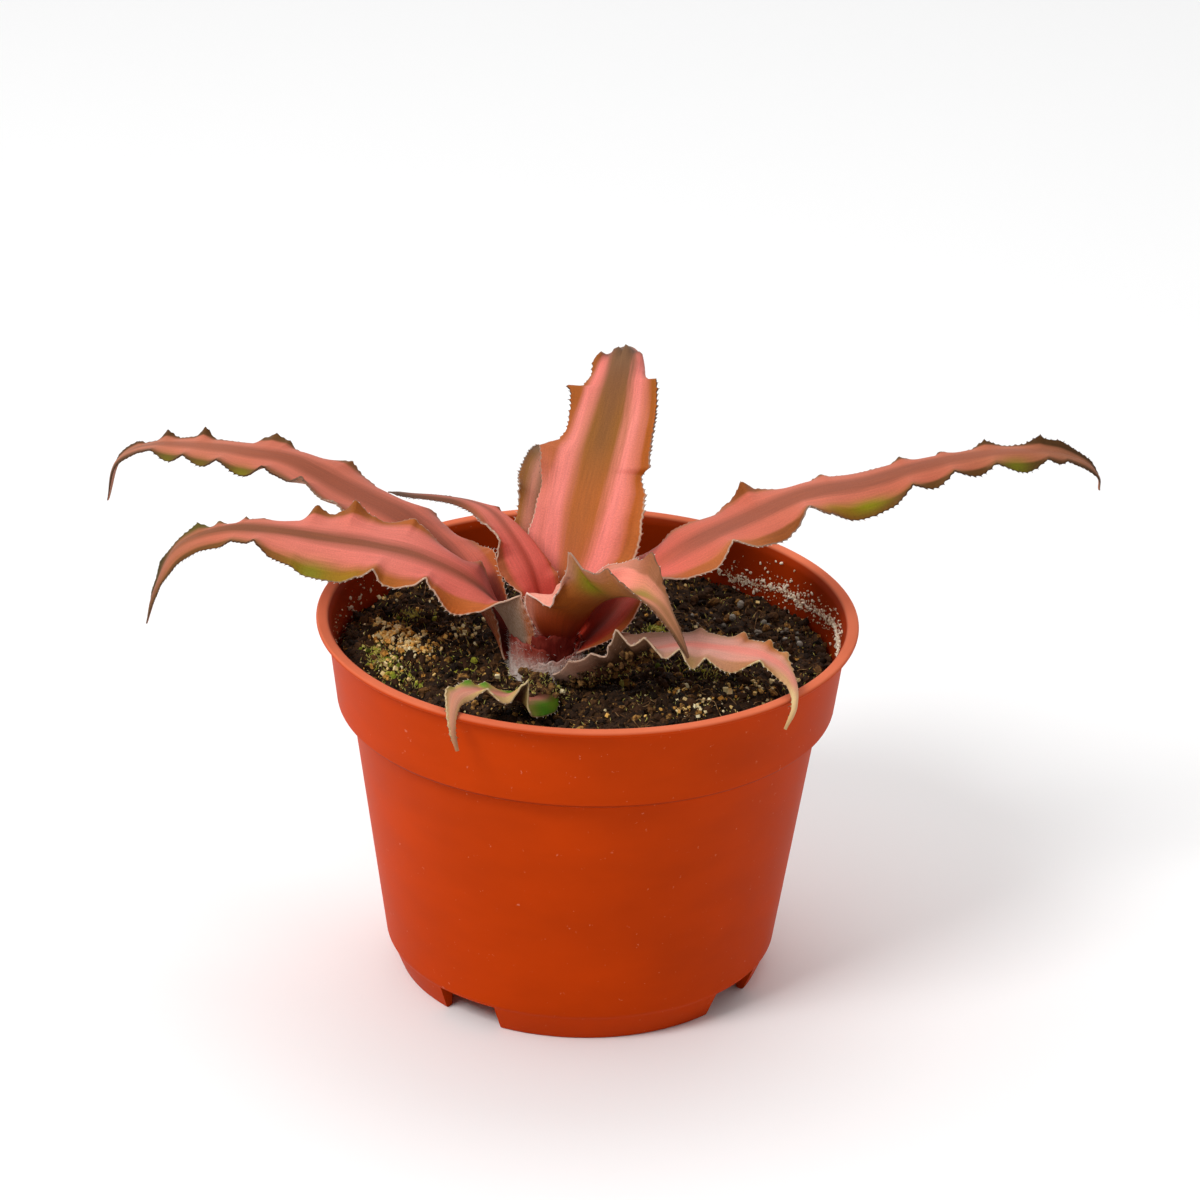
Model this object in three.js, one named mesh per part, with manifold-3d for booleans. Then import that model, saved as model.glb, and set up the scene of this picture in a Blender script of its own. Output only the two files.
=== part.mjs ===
// Potted earth star: a rosette of nine waved, spiny-edged leaves on a short crown,
// growing in a soil-filled plastic nursery pot.
// Units are millimetres, +Z is up. The origin is on the pot's axis, at the surface the pot stands on.
// -Y is the front of the plant and +X its right.

import * as THREE from 'three';
import { mergeVertices } from 'three/addons/utils/BufferGeometryUtils.js';
import Module from 'manifold-3d';

const wasm = await Module();
wasm.setup();

// ---- driving dimensions ----

const SEAT_GAP = 0.3;           // clearance between one solid and the next

// pot: a moulded round nursery pot with a flat lip and a deep band under it
const POT_HEIGHT = 76;
const LIP_RADIUS = 54;
const LIP_INNER_RADIUS = 51.8;
const LIP_THICKNESS = 1.1;
const BAND_TOP_RADIUS = 51.9;
const BAND_FOOT_RADIUS = 49.8;
const BAND_FOOT_Z = 58.4;
const BODY_TOP_RADIUS = 46.9;   // the tapered body starts a small step under the band
const BODY_FOOT_RADIUS = 39.6;
const STEP_HEIGHT = 1.2;
const FOOT_RING_HEIGHT = 6.4;   // the ring of feet draws in to the surface it stands on
const FOOT_RADIUS = 36.7;
const FOOT_WALL = 1.6;
const WALL = 1;
const FLOOR_TOP_Z = 7.4;
const POT_SIDES = 72;
const FOOT_COUNT = 4;
const FRONT_FOOT_ANGLE = -80;   // degrees round from +X to the middle of the front foot
const NOTCH_ANGLE = 21;         // degrees between one foot and the next
const NOTCH_HEIGHT = 5.8;
const DRAIN_HOLES = 6;
const DRAIN_RADIUS = 3.4;
const DRAIN_CIRCLE_RADIUS = 25;
const DRAIN_SIDES = 16;

// soil: level, slopes along X and Y, and heaps and hollows as [x, y, radius, height]
const SOIL_LEVEL = 67.5;
const SOIL_SLOPE = [-0.02, -0.05];
const SOIL_HEAPS = [
  [-10, 2, 12, 1.2], [-34, -4, 10, 1.8], [-26, -26, 9, 0.8], [10, -34, 9, 0.8], [28, -22, 8, 1],
  [-7, -33, 7, -0.8], [28, 18, 12, -1.2], [2, 30, 12, -1], [-28, 26, 10, -1],
];
const SOIL_SIDES = 48;
const SOIL_RINGS = [0.14, 0.28, 0.42, 0.56, 0.7, 0.82, 0.92, 1];

// crown: the short stem that carries the leaves
const CROWN_CENTRE = [-8, -11];
const CROWN_OUTLINE = [[4.6, 60], [5.6, 65], [5.8, 69], [4.8, 72.5], [3.4, 75.5], [1.4, 77.5]];
const CROWN_SIDES = 24;

// leaves
const BLADE_THICKNESS = 0.8;
const MARGIN_THICKNESS = 0.6;
const STATION_PITCH = 2.1;      // length of blade from one station to the next
const FEWEST_STATIONS = 29;
const ACROSS = [-1, -0.78, -0.45, 0, 0.45, 0.78, 1];
const RUFFLE_POWER = 2.6;       // how close to the margin its waves stay
const CREST = 0.8;              // how sharp their crests are: 0 evenly rounded, 1 a point

// Each leaf is a blade swept along its midrib, from the crown to its tip.
// path: points on the midrib. half: half the blade's width, evenly spaced from base to tip.
// cup: how far its sides turn up, as a share of the half width. roll: degrees about the midrib.
// left and right: the waves of each margin, looking out along the leaf, as turning points
// [place along the leaf from 0 to 1, rise, extra reach].
const LEAVES = {
  leaf_back: {
    path: [[-6.6, -6.6, 75.4], [-4.9, -3.1, 81], [-3, 1, 87], [-1, 8, 95.5], [1, 15, 102.5], [3, 22, 108.6],
      [5, 31, 115.2], [5.8, 38, 117], [6.4, 45, 115.2], [7, 50.5, 110], [7.5, 53.3, 103]],
    half: [4, 7.5, 9.5, 11, 11, 10.5, 9, 7.5, 5.5, 3, 0.8],
    cup: [0.5, 0.4, 0.3, 0.2, 0.15, 0.1, 0, -0.2, -0.3, -0.1, 0],
    roll: [0, 0],
    left: [[0.21, 1, 0], [0.28, 0, -1], [0.33, -1, -1], [0.39, 1, 0], [0.43, 1, 1.2], [0.445, 0, 0],
      [0.463, -1, -1.7], [0.49, -1, -2.4], [0.54, 0, -1.5], [0.58, 1, -0.5], [0.608, 1.5, 1.1],
      [0.621, 0, -1.6], [0.66, -0.5, -1.5], [0.72, 1.5, -1], [0.76, 0, -1.5], [0.84, -1, -0.5]],
    right: [[0.12, 0, 2], [0.18, 0, 5], [0.23, 1, 4.7], [0.28, 1, 3.3], [0.33, 0, 1.9], [0.382, -1, -0.3],
      [0.393, 1, 1.8], [0.44, 1, 1], [0.5, 1, 0.6], [0.57, 0, 0.3], [0.632, 1, 0.1], [0.645, -1, -2],
      [0.67, -3, -4], [0.7, -6, -5], [0.74, -8, -5], [0.85, -5, -4]],
  },
  leaf_back_left: {
    path: [[-8.5, -4.2, 71.5], [-9.5, -1, 78], [-10, 6, 85.5], [-10.2, 13, 91], [-9.4, 21.5, 95], [-8.4, 31, 95.5],
      [-7, 41, 92.5], [-6.5, 48.5, 87], [-6, 53, 80]],
    half: [3.5, 5, 6, 6, 5.5, 4.5, 3.5, 2, 0.4],
    cup: [0.4, 0.3, 0.2, 0.2, 0.15, 0.1, 0.1, 0.05, 0],
    roll: [0, 0],
    left: [[0.3, 1, -2], [0.315, 0, 0], [0.36, -1, -1.5], [0.43, 1, -0.5], [0.475, 0, 0], [0.6, 1, 0]],
    right: [[0.25, 1, 0], [0.34, -1, 0], [0.45, 1, 0], [0.56, -1, 0], [0.68, 1, 0]],
  },
  leaf_left_upper: {
    path: [[-15.2, -10.8, 71], [-17.5, -8.6, 75.5], [-22.3, -2, 81], [-29.5, 8.5, 85.2], [-38.5, 17.5, 88.5],
      [-50.3, 26.5, 90.5], [-60.8, 33.5, 93], [-70, 38, 92.8], [-80.5, 42, 92.2], [-91.5, 46.5, 90.3],
      [-98.5, 49.5, 85.5], [-101, 51, 76]],
    half: [2.2, 4.6, 8, 10, 11, 10.5, 9, 7.5, 6, 4, 2, 0.35],
    cup: [0.4, 0.3, 0.2, 0.1, 0.05, 0.05, 0.05, 0, 0, 0, 0, 0],
    roll: [0, -5, -8, -8, -8, -8, -8, -8, -5, 0, 0, 0],
    left: [[0.053, 2.5, -1.5], [0.14, 3, -3.5], [0.19, 1.5, -4.5], [0.24, 0, -3], [0.29, 0, -1.5], [0.34, 0],
      [0.402, 3.2], [0.414, 3.6], [0.44, 2.7], [0.497, 4.7], [0.535, 1.2], [0.565, 1], [0.59, 2], [0.643, -1.5],
      [0.692, 0.9], [0.727, -1.6], [0.759, 0.2], [0.793, -2], [0.826, 0.1], [0.856, -0.3], [0.889, -0.8]],
    right: [[0.188, 0.9], [0.202, -0.1], [0.242, -2.8], [0.284, -5.7], [0.315, -5.5], [0.345, -4],
      [0.393, -6.4], [0.433, -5.8], [0.473, -3.8], [0.509, -1], [0.521, -1.6], [0.56, -3.6], [0.586, -3.2],
      [0.603, -2.4], [0.614, -0.2], [0.635, 1.4], [0.657, 0.2], [0.674, -1.4], [0.738, -0.6], [0.756, 2.5],
      [0.778, 0.3], [0.801, 0.1], [0.822, 2.2], [0.846, 0.1], [0.863, 0.2], [0.875, 1.1], [0.917, 1.1]],
  },
  leaf_left_lower: {
    path: [[-13.3, -12.6, 73.5], [-17, -12.6, 81.5], [-23, -11, 87], [-32.5, -9, 91], [-42, -7, 92.5],
      [-52, -5, 93], [-62.5, -3, 93.5], [-72.5, -1, 92.5], [-81.5, 0, 88], [-86, 1, 78.5], [-88, 1, 71]],
    half: [3.5, 7.5, 11, 12, 11.5, 10.5, 8, 5, 3, 1.5, 0.35],
    cup: [0.5, 0.35, 0.2, 0.1, 0.05, 0.05, 0.05, 0, 0, 0, 0],
    roll: [10, 15, -12, -15, -15, -15, -15, -15, -10, 0, 0],
    left: [[0.04, 1.5], [0.085, 1.5], [0.107, 2.5], [0.118, -1], [0.13, -5], [0.155, -6.5], [0.234, -0.6],
      [0.257, 1.8], [0.279, -1.1], [0.314, -2.5], [0.334, -2.2], [0.359, 0.9], [0.395, -1.7], [0.438, -3.7],
      [0.502, -3.8], [0.536, -2.4], [0.575, -2], [0.618, 1.3], [0.64, 0.2], [0.672, 0.2], [0.717, -1.6],
      [0.755, -1.7], [0.8, -2.2], [0.84, -2], [0.9, -1]],
    right: [[0.138, -2.5], [0.183, -2], [0.22, -6], [0.322, -0.8], [0.338, 0.5], [0.392, -1.2], [0.417, -0.2],
      [0.456, 3.3], [0.482, 0.5], [0.502, -0.6], [0.534, 1.5], [0.566, -2.5], [0.59, -2.7], [0.64, -1.2],
      [0.664, -1.1], [0.672, -0.3], [0.689, -1.9], [0.702, -1.4], [0.721, 0.3], [0.737, -0.5], [0.76, 1.6],
      [0.79, 1], [0.82, 0.9], [0.87, 1.8], [0.93, 1.1]],
  },
  leaf_left_inner: {
    path: [[-8.4, -10.5, 78.3], [-10.5, -9.5, 86.2], [-12.5, -7.5, 90.6], [-16, -3.5, 94.6], [-19.5, 1.5, 96.6],
      [-24, 5.8, 97], [-30, 9.5, 96.4], [-36, 13, 95.2], [-40.5, 15, 94.8]],
    half: [3, 5, 6.5, 6, 4.5, 2.2, 1.2, 0.8, 0.35],
    cup: [0.6, 0.5, 0.4, 0.3, 0.3, 0.2, 0.1, 0, 0],
    roll: [-15, -20, -20, -20, -15, -10, 0, 0, 0],
    left: [[0.162, -1], [0.216, -3.4], [0.246, -3.8], [0.282, -3], [0.318, -0.2], [0.335, 1.8], [0.365, 1.8],
      [0.406, 0.8], [0.452, -0.8], [0.527, -1.5], [0.6, -1.5], [0.704, -1.1], [0.85, -0.7]],
    right: [[0.167, -1.4], [0.217, -3.7], [0.292, -4.8], [0.367, -4.4], [0.443, -3.6], [0.515, -2.9],
      [0.545, -1], [0.579, -1.2], [0.656, -0.6], [0.74, 0.2], [0.83, 0.3], [0.95, -0.5]],
  },
  leaf_right: {
    path: [[-2.5, -11, 72.3], [4.5, -10, 80], [10, -8, 87], [20, -4, 93], [30.5, 0, 97], [42, 3, 101.5],
      [54, 6, 103], [66.5, 9, 106], [78.5, 12, 107.5], [89.5, 15, 107], [97.5, 17, 104.5],
      [101.5, 18, 101], [102, 18, 98]],
    half: [3.5, 6.5, 9, 10.5, 10.5, 9.5, 8.5, 7.5, 6, 4.5, 3, 1.5, 0.35],
    cup: [0.5, 0.35, 0.25, 0.15, 0.1, 0.05, 0.05, 0, 0, 0, 0, 0, 0],
    roll: [0, 5, 8, 10, 10, 10, 10, 10, 10, 10, 5, 0, 0],
    left: [[0.16, -1.5], [0.217, -4], [0.256, -2.5], [0.291, -2.6], [0.327, -3.2], [0.35, -1.6], [0.384, 2.3],
      [0.401, -0.7], [0.453, -3.1], [0.48, -2.7], [0.507, -1], [0.522, -1.7], [0.615, -1.3], [0.635, 0],
      [0.665, -1.5], [0.69, -1.4], [0.702, -0.4], [0.727, -1.3], [0.748, -0.9], [0.773, 1.4], [0.81, 0],
      [0.829, 0.4], [0.862, 2.9], [0.873, 2.3], [0.894, 2.6], [0.95, 1.3]],
    right: [[0.09, -3], [0.18, 1], [0.225, -2], [0.262, -2.5], [0.306, 2], [0.36, -2], [0.4, -2.9],
      [0.413, -2.1], [0.45, 2.1], [0.485, -1.2], [0.53, -3.7], [0.58, -2.8], [0.627, 0.5], [0.665, -2.1],
      [0.7, 0.4], [0.742, -2.1], [0.773, -0.3], [0.83, -3.2], [0.868, -0.6], [0.892, -1.4], [0.904, -0.5],
      [0.93, -0.8]],
  },
  leaf_front: {
    path: [[-4.1, -13.7, 75.5], [-2, -15.6, 80.2], [0.4, -17.8, 85], [3.1, -20.2, 88.4], [6.1, -22.8, 90.6],
      [9.2, -25.2, 91.7], [11.9, -27.4, 91.8], [14, -29, 90.9], [16.2, -30.8, 88.2], [18, -31.9, 85.2],
      [19.5, -32.6, 82.2]],
    half: [3.6, 8, 11, 11.5, 10, 8, 5.5, 3.8, 2.2, 1.2, 0.35],
    cup: [0.5, 0.6, 0.7, 0.75, 0.7, 0.6, 0.45, 0.3, 0.15, 0, 0],
    roll: [0, 0],
    left: [[0.08, -1, -2.5], [0.2, -1.5, -4], [0.28, -2, -1.5], [0.337, -2.7, 0], [0.486, 0, 0], [0.597, 4.9, 0],
      [0.636, 2.8, 0], [0.666, 0.4, 0], [0.735, -1, 0], [0.858, 0, 0]],
    right: [[0.15, -0.5, 0], [0.246, 0.5, 0], [0.304, -4.8, 0], [0.349, -2.8, 0], [0.41, 0.6, 0], [0.46, 5.9, 0],
      [0.492, 2.3, 0], [0.518, 1.9, 0], [0.56, 3.8, 0], [0.611, 1.8, 0], [0.656, 0.8, 0], [0.697, 0.1, 0],
      [0.761, -0.2, 0], [0.865, 0.2, 0]],
  },
  leaf_right_low: {
    path: [[-4.5, -17.2, 69.4], [0.6, -20, 70.9], [6, -22, 74.2], [11.5, -22.3, 77.8], [18, -23, 80],
      [26, -25, 80.5], [32.5, -28, 81], [37.3, -31, 80], [39.8, -35, 78.7], [40.1, -39, 75.4],
      [38.3, -40.9, 71.5]],
    half: [3.5, 5, 6.5, 7.5, 7.5, 7, 6.2, 4.4, 2.4, 0.7, 0.35],
    cup: [0.7, 0.8, 0.7, 0.4, 0.2, 0.2, 0.2, 0.2, 0.1, 0, 0],
    roll: [0, 0],
    left: [[0.1, -2], [0.2, -2], [0.256, 1.5], [0.292, 0], [0.426, -0.4], [0.464, 0.8], [0.485, -0.2],
      [0.542, -0.5], [0.59, 1.3], [0.6, -0.3], [0.652, 0], [0.678, 1.4], [0.7, 0], [0.72, 0.3], [0.74, 1.6],
      [0.76, 0.3], [0.803, -0.6], [0.85, -1]],
    right: [[0.086, 2], [0.16, 1], [0.193, 1.5], [0.226, 0], [0.25, 2], [0.29, 5], [0.305, 1], [0.348, 2.5],
      [0.392, -2], [0.444, 0], [0.487, -4], [0.531, -1.5], [0.629, -4], [0.712, 0], [0.746, -0.9], [0.8, -1.5],
      [0.85, -1], [0.9, -0.5]],
  },
  leaf_front_low: {
    path: [[-10.2, -17.6, 70.5], [-9.1, -24, 71], [-9.5, -30, 71.8], [-12.5, -35, 73.6], [-17, -38.3, 76],
      [-21.5, -40.8, 77.8], [-24.5, -44, 78.3], [-25.3, -48.5, 77], [-25, -51.3, 74], [-24, -51.8, 70.5]],
    half: [2.5, 3, 3.8, 5, 5.5, 5.4, 3.1, 1.2, 0.5, 0.35],
    cup: [0.2, 0.2, 0.1, 0.1, 0.1, 0.1, 0.1, 0, 0, 0],
    roll: [0, 0],
    left: [[0.2, -1.5], [0.34, -2.8], [0.42, -3.4], [0.438, -2.6], [0.47, 3.5], [0.5, 2], [0.545, -2], [0.627, 0.5],
      [0.71, -1.5], [0.8, -1]],
    right: [[0.41, 0.5], [0.51, 1.5], [0.56, 0.5], [0.61, 1.5], [0.685, 0.5], [0.72, 1.5], [0.75, 1.5]],
  },
};

// ---- materials ----

const plastic = new THREE.MeshStandardMaterial({ color: 0xc24a1f, roughness: 0.5, metalness: 0 });
const peat = new THREE.MeshStandardMaterial({ color: 0x2b1d12, roughness: 1, metalness: 0 });
const stem = new THREE.MeshStandardMaterial({ color: 0xa8877a, roughness: 0.8, metalness: 0 });
const blade = new THREE.MeshStandardMaterial({ color: 0xdf7a6c, roughness: 0.55, metalness: 0 });

// ---- small helpers ----

const radians = THREE.MathUtils.degToRad;

function toManifold(geometry) {
  geometry.deleteAttribute('normal');
  geometry.deleteAttribute('uv');
  const merged = mergeVertices(geometry, 1e-4);
  return new wasm.Manifold(new wasm.Mesh({
    numProp: 3,
    vertProperties: new Float32Array(merged.attributes.position.array),
    triVerts: new Uint32Array(merged.index.array),
  }));
}

function toGeometry(solid) {
  const { vertProperties, triVerts } = solid.getMesh();
  const geometry = new THREE.BufferGeometry();
  geometry.setAttribute('position', new THREE.Float32BufferAttribute(vertProperties, 3));
  geometry.setIndex(Array.from(triVerts));
  geometry.computeVertexNormals();
  return geometry;
}

function named(name, geometry, material) {
  const mesh = new THREE.Mesh(geometry, material);
  mesh.name = name;
  return mesh;
}

// a lathe solid about +Z from an outline of [radius, z] points
function turned(outline, sides) {
  const points = outline.map(([radius, z]) => new THREE.Vector2(radius, z));
  return new THREE.LatheGeometry(points, sides).rotateX(Math.PI / 2);
}

// a smooth curve through evenly spaced values, read at s from 0 to 1
function along(values, s) {
  const spans = values.length - 1;
  const x = Math.min(Math.max(s * spans, 0), spans - 1e-9);
  const i = Math.floor(x);
  const t = x - i;
  const at = (k) => {
    if (k < 0) return 2 * values[0] - values[1];
    if (k > spans) return 2 * values[spans] - values[spans - 1];
    return values[k];
  };
  const [p0, p1, p2, p3] = [at(i - 1), at(i), at(i + 1), at(i + 2)];
  const [m1, m2] = [(p2 - p0) / 2, (p3 - p1) / 2];
  return ((2 * p1 - 2 * p2 + m1 + m2) * t + (-3 * p1 + 3 * p2 - 2 * m1 - m2)) * t * t + m1 * t + p1;
}

// evenly spaced points on the smooth curve through the given ones
function evenPath(points, steps) {
  const fine = 24 * (points.length - 1);
  const axes = [0, 1, 2].map((axis) => points.map((p) => p[axis]));
  const curve = Array.from({ length: fine + 1 }, (_, i) => new THREE.Vector3(
    ...axes.map((values) => along(values, i / fine))));
  const lengths = [0];
  for (let i = 1; i <= fine; i++) lengths.push(lengths[i - 1] + curve[i].distanceTo(curve[i - 1]));
  const path = [];
  for (let step = 0, i = 1; step <= steps; step++) {
    const goal = (lengths[fine] * step) / steps;
    while (i < fine && lengths[i] < goal) i++;
    path.push(curve[i - 1].clone().lerp(curve[i], (goal - lengths[i - 1]) / (lengths[i] - lengths[i - 1])));
  }
  return path;
}

function pathLength(points) {
  const path = evenPath(points, 200);
  return path.slice(1).reduce((sum, p, i) => sum + p.distanceTo(path[i]), 0);
}

// ---- pot ----

function makePot() {
  const bandInner = BAND_TOP_RADIUS - WALL;
  const ledgeZ = BAND_FOOT_Z - STEP_HEIGHT;
  const outline = [
    [0, FLOOR_TOP_Z - WALL], [FOOT_RADIUS - FOOT_WALL, FLOOR_TOP_Z - WALL], [FOOT_RADIUS - FOOT_WALL, 0],
    [FOOT_RADIUS, 0], [BODY_FOOT_RADIUS - 0.6, FOOT_RING_HEIGHT - 0.8], [BODY_FOOT_RADIUS, FOOT_RING_HEIGHT],
    [BODY_TOP_RADIUS, ledgeZ], [BAND_FOOT_RADIUS - 0.7, BAND_FOOT_Z - 0.7], [BAND_FOOT_RADIUS, BAND_FOOT_Z],
    [BAND_TOP_RADIUS, POT_HEIGHT - LIP_THICKNESS - 0.2], [LIP_RADIUS - 0.3, POT_HEIGHT - LIP_THICKNESS],
    [LIP_RADIUS, POT_HEIGHT - 0.7], [LIP_RADIUS, POT_HEIGHT - 0.3], [LIP_RADIUS - 0.3, POT_HEIGHT],
    [LIP_INNER_RADIUS, POT_HEIGHT], [bandInner, POT_HEIGHT - 1.6], [BAND_FOOT_RADIUS - WALL, BAND_FOOT_Z],
    [BODY_TOP_RADIUS - WALL, ledgeZ - 0.9], [BODY_FOOT_RADIUS - WALL - 0.2, FLOOR_TOP_Z + 1],
    [BODY_FOOT_RADIUS - WALL - 1.2, FLOOR_TOP_Z], [0, FLOOR_TOP_Z],
  ];
  let pot = toManifold(turned(outline, POT_SIDES));
  for (let foot = 0; foot < FOOT_COUNT; foot++) {
    const angle = radians(FRONT_FOOT_ANGLE + (foot + 0.5) * 360 / FOOT_COUNT);
    const width = 2 * FOOT_RADIUS * Math.sin(radians(NOTCH_ANGLE / 2));
    const notch = new THREE.BoxGeometry(12, width, 2 * NOTCH_HEIGHT);
    notch.translate(FOOT_RADIUS, 0, 0).rotateZ(angle);
    pot = pot.subtract(toManifold(notch));
  }
  for (let hole = 0; hole < DRAIN_HOLES; hole++) {
    const angle = radians(hole * 360 / DRAIN_HOLES);
    const drain = new THREE.CylinderGeometry(DRAIN_RADIUS, DRAIN_RADIUS, 6, DRAIN_SIDES).rotateX(Math.PI / 2);
    drain.translate(DRAIN_CIRCLE_RADIUS * Math.cos(angle), DRAIN_CIRCLE_RADIUS * Math.sin(angle), FLOOR_TOP_Z);
    pot = pot.subtract(toManifold(drain));
  }
  return named('pot', toGeometry(pot), plastic);
}

// ---- soil and crown ----

function soilHeight(x, y) {
  const heaped = SOIL_HEAPS.reduce((sum, [hx, hy, radius, height]) => (
    sum + height * Math.exp(-((x - hx) ** 2 + (y - hy) ** 2) / (radius * radius))), 0);
  const crumbs = 0.35 * Math.sin(0.55 * x + 1.3) * Math.sin(0.61 * y - 0.4);
  return SOIL_LEVEL + SOIL_SLOPE[0] * x + SOIL_SLOPE[1] * y + heaped + crumbs;
}

// the pot's inner wall, above the ledge behind its band
function bandWallRadius(z) {
  const share = (z - BAND_FOOT_Z) / (POT_HEIGHT - 1.6 - BAND_FOOT_Z);
  return BAND_FOOT_RADIUS - WALL + share * (BAND_TOP_RADIUS - BAND_FOOT_RADIUS);
}

function makeSoil() {
  const rings = [];
  const edge = bandWallRadius(SOIL_LEVEL - 5) - SEAT_GAP - 0.1;
  for (const share of SOIL_RINGS) {
    rings.push((angle) => {
      const [x, y] = [share * edge * Math.cos(angle), share * edge * Math.sin(angle)];
      return [x, y, soilHeight(x, y)];
    });
  }
  const sides = [
    [BAND_FOOT_RADIUS - WALL - SEAT_GAP, BAND_FOOT_Z + 0.4],
    [BODY_TOP_RADIUS - WALL - SEAT_GAP - 0.1, BAND_FOOT_Z - STEP_HEIGHT - 0.7],
    [BODY_FOOT_RADIUS - WALL - SEAT_GAP - 0.4, FLOOR_TOP_Z + 1.6],
    [BODY_FOOT_RADIUS - WALL - SEAT_GAP - 1.6, FLOOR_TOP_Z + SEAT_GAP],
  ];
  for (const [radius, z] of sides) {
    rings.push((angle) => [radius * Math.cos(angle), radius * Math.sin(angle), z]);
  }
  const positions = [0, 0, soilHeight(0, 0)];
  for (const ring of rings) {
    for (let side = 0; side < SOIL_SIDES; side++) positions.push(...ring((2 * Math.PI * side) / SOIL_SIDES));
  }
  positions.push(0, 0, FLOOR_TOP_Z + SEAT_GAP);
  const last = positions.length / 3 - 1;
  const index = [];
  for (let side = 0; side < SOIL_SIDES; side++) {
    const next = (side + 1) % SOIL_SIDES;
    index.push(0, 1 + side, 1 + next);
    for (let ring = 0; ring < rings.length - 1; ring++) {
      const [inner, outer] = [1 + ring * SOIL_SIDES, 1 + (ring + 1) * SOIL_SIDES];
      index.push(inner + side, outer + side, outer + next, inner + side, outer + next, inner + next);
    }
    const foot = 1 + (rings.length - 1) * SOIL_SIDES;
    index.push(last, foot + next, foot + side);
  }
  const geometry = new THREE.BufferGeometry();
  geometry.setAttribute('position', new THREE.Float32BufferAttribute(positions, 3));
  geometry.setIndex(index);
  const hole = crownGeometry(SEAT_GAP);
  return named('soil', toGeometry(toManifold(geometry).subtract(toManifold(hole))), peat);
}

function crownGeometry(grown) {
  const [bottom, top] = [CROWN_OUTLINE[0], CROWN_OUTLINE[CROWN_OUTLINE.length - 1]];
  const outline = [
    [0, bottom[1] - grown],
    ...CROWN_OUTLINE.map(([radius, z]) => [radius + grown, z]).map(([r, z], i) => [r, i ? z : z - grown]),
    [0, top[1] + grown],
  ];
  return turned(outline, CROWN_SIDES).translate(...CROWN_CENTRE, 0);
}

function makeCrown() {
  return named('crown', toGeometry(toManifold(crownGeometry(0))), stem);
}

// ---- leaves ----

// a margin's rise and reach at s: round hollows and sharp crests between its turning points
function margin(turns, s) {
  const stops = [[0, 0, 0], ...turns, [1, 0, 0]].map(([place, rise, reach = 0]) => [place, rise, reach]);
  const next = Math.max(1, stops.findIndex(([place]) => place >= s));
  const [from, to] = [stops[next - 1], stops[next]];
  const t = (s - from[0]) / (to[0] - from[0]);
  const climbs = to[1] + to[2] > from[1] + from[2];
  const sharp = climbs ? 1 - Math.cos(Math.PI * t / 2) : Math.sin(Math.PI * t / 2);
  const ease = CREST * sharp + (1 - CREST) * (1 - Math.cos(Math.PI * t)) / 2;
  return [1, 2].map((k) => from[k] * (1 - ease) + to[k] * ease);
}

// the blade's middle surface: a row of points across it at each station
function bladeRows(leaf, steps) {
  const path = evenPath(leaf.path, steps);
  const rows = [];
  let normal = new THREE.Vector3(0, 0, 1);
  for (let i = 0; i <= steps; i++) {
    const s = i / steps;
    const tangent = path[Math.min(i + 1, steps)].clone().sub(path[Math.max(i - 1, 0)]).normalize();
    normal = normal.clone().addScaledVector(tangent, -normal.dot(tangent)).normalize();
    const up = normal.clone().applyAxisAngle(tangent, radians(along(leaf.roll, s)));
    const right = tangent.clone().cross(up);
    const half = along(leaf.half, s);
    const cup = along(leaf.cup, s);
    const waves = { '-1': margin(leaf.left, s), 0: [0, 0], 1: margin(leaf.right, s) };
    rows.push(ACROSS.map((v) => {
      const [rise, reach] = waves[Math.sign(v)];
      const q = Math.abs(v);
      const width = half + reach * q ** RUFFLE_POWER;
      const lift = cup * half * q ** 1.6 + rise * q ** RUFFLE_POWER;
      const side = width * v * Math.sqrt(Math.max(0.2, 1 - 0.35 * (cup * q ** 0.6) ** 2));
      return path[i].clone().addScaledVector(right, side).addScaledVector(up, lift);
    }));
  }
  return rows;
}

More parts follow.
